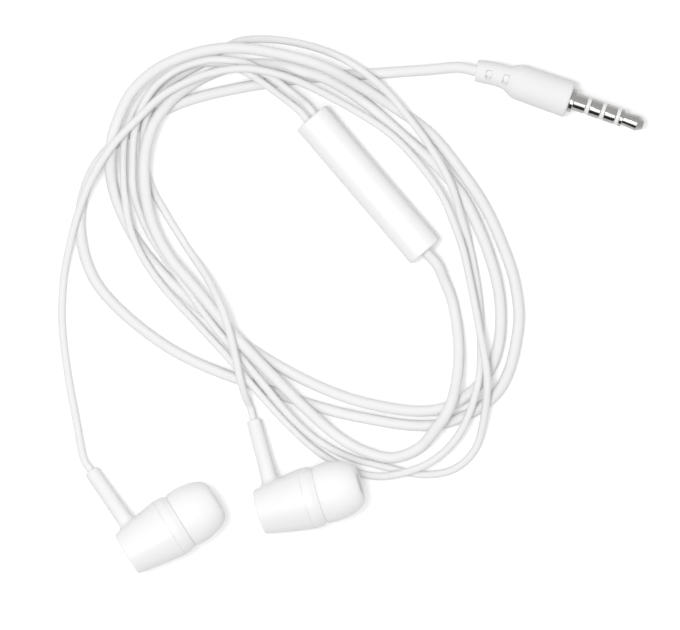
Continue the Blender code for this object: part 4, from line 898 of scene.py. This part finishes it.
def build_plug_contacts():
    """Sleeve with its collar, two rings and the tip in nickel, and three white insulators."""
    matrix = plug_matrix()
    bright = nickel()
    plain = insulator()
    made = {}

    def band(low, high, outer, bore):
        """Outline of a ring with its two outer edges rounded."""
        return rounded([(outer, high, CONTACT_BEVEL), (outer, low, CONTACT_BEVEL), (bore, low, 0.0),
                        (bore, high, 0.0)], closed=True)

    made["sleeve"] = turned("plug_sleeve_contact", rounded([
        (CONTACT_RADIUS, SLEEVE_LENGTH, CONTACT_BEVEL), (CONTACT_RADIUS, COLLAR_END, 0.1 * MM),
        (COLLAR_RADIUS, COLLAR_END, 0.12 * MM), (COLLAR_RADIUS, COLLAR_START, 0.1 * MM),
        (CONTACT_RADIUS, COLLAR_START, 0.0), (CONTACT_RADIUS, -SLEEVE_SHANK, CONTACT_BEVEL),
        (CONTACT_BORE, -SLEEVE_SHANK, 0.0), (CONTACT_BORE, SLEEVE_LENGTH, 0.0)], closed=True), matrix, bright)
    level = SLEEVE_LENGTH
    for number in (1, 2, 3):
        low = level + (INSULATOR_STEP - INSULATOR_LENGTH) / 2
        outline = band(low, low + INSULATOR_LENGTH, CONTACT_RADIUS - INSULATOR_RECESS, INSULATOR_BORE)
        made[f"insulator_{number}"] = turned(f"plug_insulating_ring_{number}", outline, matrix, plain)
        level += INSULATOR_STEP
        if number < 3:
            outline = band(level, level + RING_STEP, CONTACT_RADIUS, CONTACT_BORE)
            made[f"ring_{number}"] = turned(f"plug_contact_ring_{number}", outline, matrix, bright)
            level += RING_STEP
    groove = level + HEAD_BASE_LENGTH
    head = groove + HEAD_GROOVE_LENGTH
    cone = head + HEAD_LENGTH
    end = cone + HEAD_CONE_LENGTH
    made["tip"] = turned("plug_tip_contact", rounded([
        (0.0, end, 0.0), (HEAD_END_RADIUS, end, 0.2 * MM), (HEAD_RADIUS, cone, 0.2 * MM),
        (HEAD_GROOVE_RADIUS, head, 0.3 * MM), (HEAD_GROOVE_RADIUS, groove, 0.05 * MM),
        (CONTACT_RADIUS, groove, CONTACT_BEVEL), (CONTACT_RADIUS, level, CONTACT_BEVEL),
        (PIN_RADIUS, level, 0.0), (PIN_RADIUS, -SLEEVE_SHANK, 0.0), (0.0, -SLEEVE_SHANK, 0.0)]),
        matrix, bright)
    for name, piece in made.items():
        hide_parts(f"plug_{name}")
    return list(made.values())


# Cords

def smooth_line(points):
    """Centripetal Catmull-Rom curve through the points, with the knots a square root apart."""
    route = np.array(points, float)
    ends = np.vstack([2 * route[0] - route[1], route, 2 * route[-1] - route[-2]])
    p0, p1, p2, p3 = (ends[shift:len(ends) - 3 + shift, None] for shift in range(4))
    k1, k2, k3 = (np.linalg.norm(b - a, axis=2, keepdims=True) ** 0.5
                  for a, b in ((p0, p1), (p1, p2), (p2, p3)))
    k2, k3 = k1 + k2, k1 + k2 + k3
    t = k1 + (k2 - k1) * np.arange(STEPS_PER_ROUTE_POINT)[None, :, None] / STEPS_PER_ROUTE_POINT
    a1 = ((k1 - t) * p0 + t * p1) / k1
    a2 = ((k2 - t) * p1 + (t - k1) * p2) / (k2 - k1)
    a3 = ((k3 - t) * p2 + (t - k2) * p3) / (k3 - k2)
    b1 = ((k2 - t) * a1 + t * a2) / k2
    b2 = ((k3 - t) * a2 + (t - k1) * a3) / (k3 - k1)
    curve = ((k2 - t) * b1 + (t - k1) * b2) / (k2 - k1)
    return np.vstack([curve.reshape(-1, 3), route[-1:]])


def glands():
    """Where each cord ends: the face it enters and the way out of it, at both ends."""
    remote = remote_matrix()
    side = remote.to_3x3()
    grip_end, backward = grip_line(np.array([GRIP_LENGTH + GRIP_FLARE_LENGTH + GRIP_NECK_LENGTH]))
    plug = plug_matrix()
    made = {"plug": (plug @ Vector(grip_end[0]), plug.to_3x3() @ Vector(backward[0]))}
    half_gap = BRANCH_SPACING / 2
    for name, end, offset in (("main", 1, 0.0), ("right", -1, -half_gap), ("left", -1, half_gap)):
        face = Vector((end * REMOTE_LENGTH / 2, offset, REMOTE_HEIGHT / 2))
        made[name] = (remote @ face, side @ Vector((end, 0.0, 0.0)))
    for name in EARBUDS:
        boot = earbud_matrix(name) @ boot_matrix(name)
        mouth = boot @ Vector((0.0, 0.0, BOOT_REACH))
        made[f"{name}_boot"] = (mouth, boot.to_3x3() @ Vector((0.0, 0.0, 1.0)))
    return made


def build_cord(name, start, route, end, diameter):
    """Round cord on one smooth curve from gland to gland, kept from dipping under the surface.

    Its mesh is a circle carried along the curve, in the plane of the sideways and the upward
    direction at each point.
    """
    lead_in = GLAND_GAP + 1.5 * diameter
    out = (-CORD_INTO_GLAND, GLAND_GAP, lead_in)
    near = [start[0] + start[1] * way for way in out]
    far = [end[0] + end[1] * way for way in out[::-1]]
    line = smooth_line(near + list(route) + far)
    line[:, 2] = np.maximum(line[:, 2], diameter / 2)
    along = np.gradient(line, axis=0)
    along /= np.linalg.norm(along, axis=1, keepdims=True)
    across = np.cross(along, (0.0, 0.0, 1.0))
    across /= np.linalg.norm(across, axis=1, keepdims=True)
    upward = np.cross(across, along)
    angle = (np.arange(CORD_SIDES) * math.tau / CORD_SIDES)[None, :, None]
    grid = line[:, None] + diameter / 2 * (np.cos(angle) * across[:, None] + np.sin(angle) * upward[:, None])
    piece = skin(f"{name}_cable", grid, cord_jacket(), line[0], line[-1])
    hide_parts(f"{name}_cord")
    return piece


# Operators

def for_each_earbud(build):
    """Build a piece on the left and on the right."""
    for side in EARBUDS:
        build(side)
    return {"FINISHED"}


class EARPHONES_OT_rear_shells(bpy.types.Operator):
    """Build the rear shell of each earbud"""

    bl_idname = "earphones.rear_shells"
    bl_label = "Rear shells"

    def execute(self, context):
        return for_each_earbud(build_rear_shell)


class EARPHONES_OT_front_shells(bpy.types.Operator):
    """Build the front cover and nozzle of each earbud"""

    bl_idname = "earphones.front_shells"
    bl_label = "Front shells"

    def execute(self, context):
        return for_each_earbud(build_front_shell)


class EARPHONES_OT_ear_tips(bpy.types.Operator):
    """Build the silicone ear tips"""

    bl_idname = "earphones.ear_tips"
    bl_label = "Ear tips"

    def execute(self, context):
        return for_each_earbud(build_ear_tip)


class EARPHONES_OT_cable_boots(bpy.types.Operator):
    """Build the cable boot of each earbud"""

    bl_idname = "earphones.cable_boots"
    bl_label = "Cable boots"

    def execute(self, context):
        return for_each_earbud(build_cable_boot)


class EARPHONES_OT_remote_case(bpy.types.Operator):
    """Build the remote's cover and grommets"""

    bl_idname = "earphones.remote_case"
    bl_label = "Remote case"

    def execute(self, context):
        build_remote_cover()
        build_grommet("main_cord", 1)
        build_grommet("branch_cord", -1)
        return {"FINISHED"}


class EARPHONES_OT_plug(bpy.types.Operator):
    """Build the plug's grip and contacts"""

    bl_idname = "earphones.plug"
    bl_label = "Plug"

    def execute(self, context):
        build_plug_grip()
        build_plug_contacts()
        return {"FINISHED"}


class EARPHONES_OT_cords(bpy.types.Operator):
    """Build the main cord and the two branch cords"""

    bl_idname = "earphones.cords"
    bl_label = "Cords"

    def execute(self, context):
        ends = glands()
        build_cord("main", ends["main"], MAIN_ROUTE[::-1], ends["plug"], MAIN_CORD_DIAMETER)
        build_cord("right", ends["right"], RIGHT_ROUTE, ends["right_boot"], BRANCH_CORD_DIAMETER)
        build_cord("left", ends["left"], LEFT_ROUTE, ends["left_boot"], BRANCH_CORD_DIAMETER)
        return {"FINISHED"}


class EARPHONES_OT_carried_parts(bpy.types.Operator):
    """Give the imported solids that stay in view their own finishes"""

    bl_idname = "earphones.carried_parts"
    bl_label = "Carried parts"

    def execute(self, context):
        for name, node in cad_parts.items():
            if node.hide_render:
                continue
            material = carried_finish(name)
            for number in range(len(node.material_slots)):
                node.material_slots[number].material = material
        return {"FINISHED"}


def carried_finish(name):
    """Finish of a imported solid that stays, by its name."""
    if name in ("remote_base", "remote_button"):
        return white_plastic()
    if name.endswith(("coil", "lead_wire_1", "lead_wire_2")):
        return finish("enamelled_copper", turned_metal(), (0.72, 0.35, 0.2), 0.01 * MM, {"Roughness": 0.34},
                      {"Metallic": 1.0})
    if name.endswith("board"):
        return finish("circuit_board", moulded_surface(), (0.03, 0.2, 0.09), 0.01 * MM,
                      {"Roughness": 0.42, "Mottle": 0.3, "Broad Scale": 900.0})
    if name.endswith("diaphragm"):
        return finish("polymer_film", moulded_surface(), (0.7, 0.62, 0.42), 0.01 * MM, {"Roughness": 0.28})
    if name.endswith(("driver_frame", "plunger")):
        return finish("grey_plastic", moulded_surface(), (0.3, 0.31, 0.32), 0.01 * MM, {"Roughness": 0.5})
    return finish("bright_steel", turned_metal(), (0.62, 0.62, 0.63), 0.004 * MM, {"Roughness": 0.28},
                  {"Metallic": 1.0})


class EARPHONES_OT_stage(bpy.types.Operator):
    """Lay the floor, and set the lamps, the world and the camera"""

    bl_idname = "earphones.stage"
    bl_label = "Stage"

    def execute(self, context):
        build_floor()
        build_world()
        build_lamps()
        build_camera()
        return {"FINISHED"}


# Stage

def build_floor():
    """Large pale sheet under the earphones, brighter for the camera alone and clear from below."""
    share = np.linspace(-FLOOR_HALF_SIDE, FLOOR_HALF_SIDE, FLOOR_ROWS)
    x, y = np.meshgrid(share, share)
    grid = np.stack([x, y, np.full_like(x, -FLOOR_GAP)], -1)
    _, quads = sheet_quads(FLOOR_ROWS, FLOOR_ROWS)
    mesh = bpy.data.meshes.new("floor")
    mesh.from_pydata(grid.reshape(-1, 3).tolist(), [], quads.tolist())
    material = finish("pale_floor", moulded_surface(), colours().floor, 0.0,
                      {"Roughness": 0.9, "Mottle": 0.004, "Broad Scale": 40.0, "Grain Scale": 900.0},
                      {"Specular IOR Level": 0.0, "Emission Strength": FLOOR_GLOW})
    tree = material.node_tree
    path = tree.nodes.new("ShaderNodeLightPath")
    shader = tree.nodes["Principled BSDF"]
    tree.links.new(path.outputs["Is Camera Ray"], shader.inputs["Emission Color"])
    back = tree.nodes.new("ShaderNodeNewGeometry").outputs["Backfacing"]
    tree.links.new(math_node(tree, "SUBTRACT", 1.0, back), shader.inputs["Alpha"])
    mesh.materials.append(material)
    floor = new_object("floor", mesh)


def build_world():
    """White surroundings for the camera, and for everything else a grey sky with a dark card.

    The sky's strength falls by a smooth step where the dot product of its direction and the
    card's rises.
    """
    world = bpy.data.worlds.new("studio")
    bpy.context.scene.world = world
    world.use_nodes = True
    tree = world.node_tree
    facing = tree.nodes.new("ShaderNodeVectorMath")
    facing.operation = "DOT_PRODUCT"
    facing.inputs[1].default_value = DARK_CARD
    tree.links.new(tree.nodes.new("ShaderNodeTexCoord").outputs["Object"], facing.inputs[0])
    fall = tree.nodes.new("ShaderNodeMapRange")
    fall.interpolation_type = "SMOOTHSTEP"
    for label, value in zip(("From Min", "From Max", "To Min", "To Max"),
                            (*DARK_CARD_EDGE, SKY_LIGHT, DARK_CARD_LIGHT)):
        fall.inputs[label].default_value = value
    tree.links.new(facing.outputs["Value"], fall.inputs["Value"])
    light = tree.nodes["Background"]
    seen = tree.nodes.new("ShaderNodeBackground")
    for background in (light, seen):
        background.inputs["Color"].default_value = (1.0, 1.0, 1.0, 1.0)
    tree.links.new(fall.outputs["Result"], light.inputs["Strength"])
    path = tree.nodes.new("ShaderNodeLightPath")
    mix = tree.nodes.new("ShaderNodeMixShader")
    tree.links.new(path.outputs["Is Camera Ray"], mix.inputs["Fac"])
    tree.links.new(light.outputs[0], mix.inputs[1])
    tree.links.new(seen.outputs[0], mix.inputs[2])
    tree.links.new(mix.outputs[0], tree.nodes["World Output"].inputs["Surface"])


def build_lamps():
    """Square lamps: a broad soft one over the picture's lower left, and a small one at the left."""
    for name, place, side, watts in LAMPS:
        lamp = bpy.data.lights.new(name, "AREA")
        lamp.shape = "SQUARE"
        lamp.size = side
        lamp.energy = watts
        holder = new_object(name, lamp)
        holder.location = place
        aim = Vector(LAMP_TARGET) - Vector(place)
        holder.rotation_mode = "QUATERNION"
        holder.rotation_quaternion = aim.to_track_quat("-Z", "Y")


def build_camera():
    """Camera straight over the earphones."""
    camera = bpy.data.cameras.new("overhead_camera")
    camera.sensor_width = SENSOR_WIDTH_MM
    camera.lens = SENSOR_WIDTH_MM * CAMERA_DISTANCE / PICTURE_WIDTH
    holder = new_object("overhead_camera", camera)
    holder.location = (*CAMERA_PLACE, CAMERA_DISTANCE + PICTURE_LEVEL)
    bpy.context.scene.camera = holder
    bpy.context.scene.view_settings.view_transform = "Standard"


class VIEW3D_PT_earphones(bpy.types.Panel):
    """Lists the earphones' pieces in the sidebar"""

    bl_label = "Earphones"
    bl_idname = "VIEW3D_PT_earphones"
    bl_space_type = "VIEW_3D"
    bl_region_type = "UI"
    bl_category = "Earphones"

    def draw(self, context):
        layout = self.layout
        for operator in OPERATORS:
            layout.operator(operator.bl_idname)
        for settings in (context.scene.earphone_sizes, context.scene.earphone_colours):
            for name in settings.__annotations__:
                layout.prop(settings, name)


OPERATORS = (
    EARPHONES_OT_rear_shells,
    EARPHONES_OT_front_shells,
    EARPHONES_OT_ear_tips,
    EARPHONES_OT_cable_boots,
    EARPHONES_OT_remote_case,
    EARPHONES_OT_plug,
    EARPHONES_OT_cords,
    EARPHONES_OT_carried_parts,
    EARPHONES_OT_stage,
)


def register():
    """Register the settings, the operators and the panel."""
    for item in (EarphoneSizes, EarphoneColours, *OPERATORS, VIEW3D_PT_earphones):
        bpy.utils.register_class(item)
    bpy.types.Scene.earphone_sizes = PointerProperty(type=EarphoneSizes)
    bpy.types.Scene.earphone_colours = PointerProperty(type=EarphoneColours)


def unregister():
    """Take the settings, the operators and the panel away again."""
    del bpy.types.Scene.earphone_colours
    del bpy.types.Scene.earphone_sizes
    for item in (VIEW3D_PT_earphones, *OPERATORS[::-1], EarphoneColours, EarphoneSizes):
        bpy.utils.unregister_class(item)


def main():
    """Build every piece and the stage."""
    register()
    bpy.ops.earphones.rear_shells()
    bpy.ops.earphones.front_shells()
    bpy.ops.earphones.ear_tips()
    bpy.ops.earphones.cable_boots()
    bpy.ops.earphones.remote_case()
    bpy.ops.earphones.plug()
    bpy.ops.earphones.cords()
    bpy.ops.earphones.carried_parts()
    bpy.ops.earphones.stage()


if __name__ == "__main__":
    main()
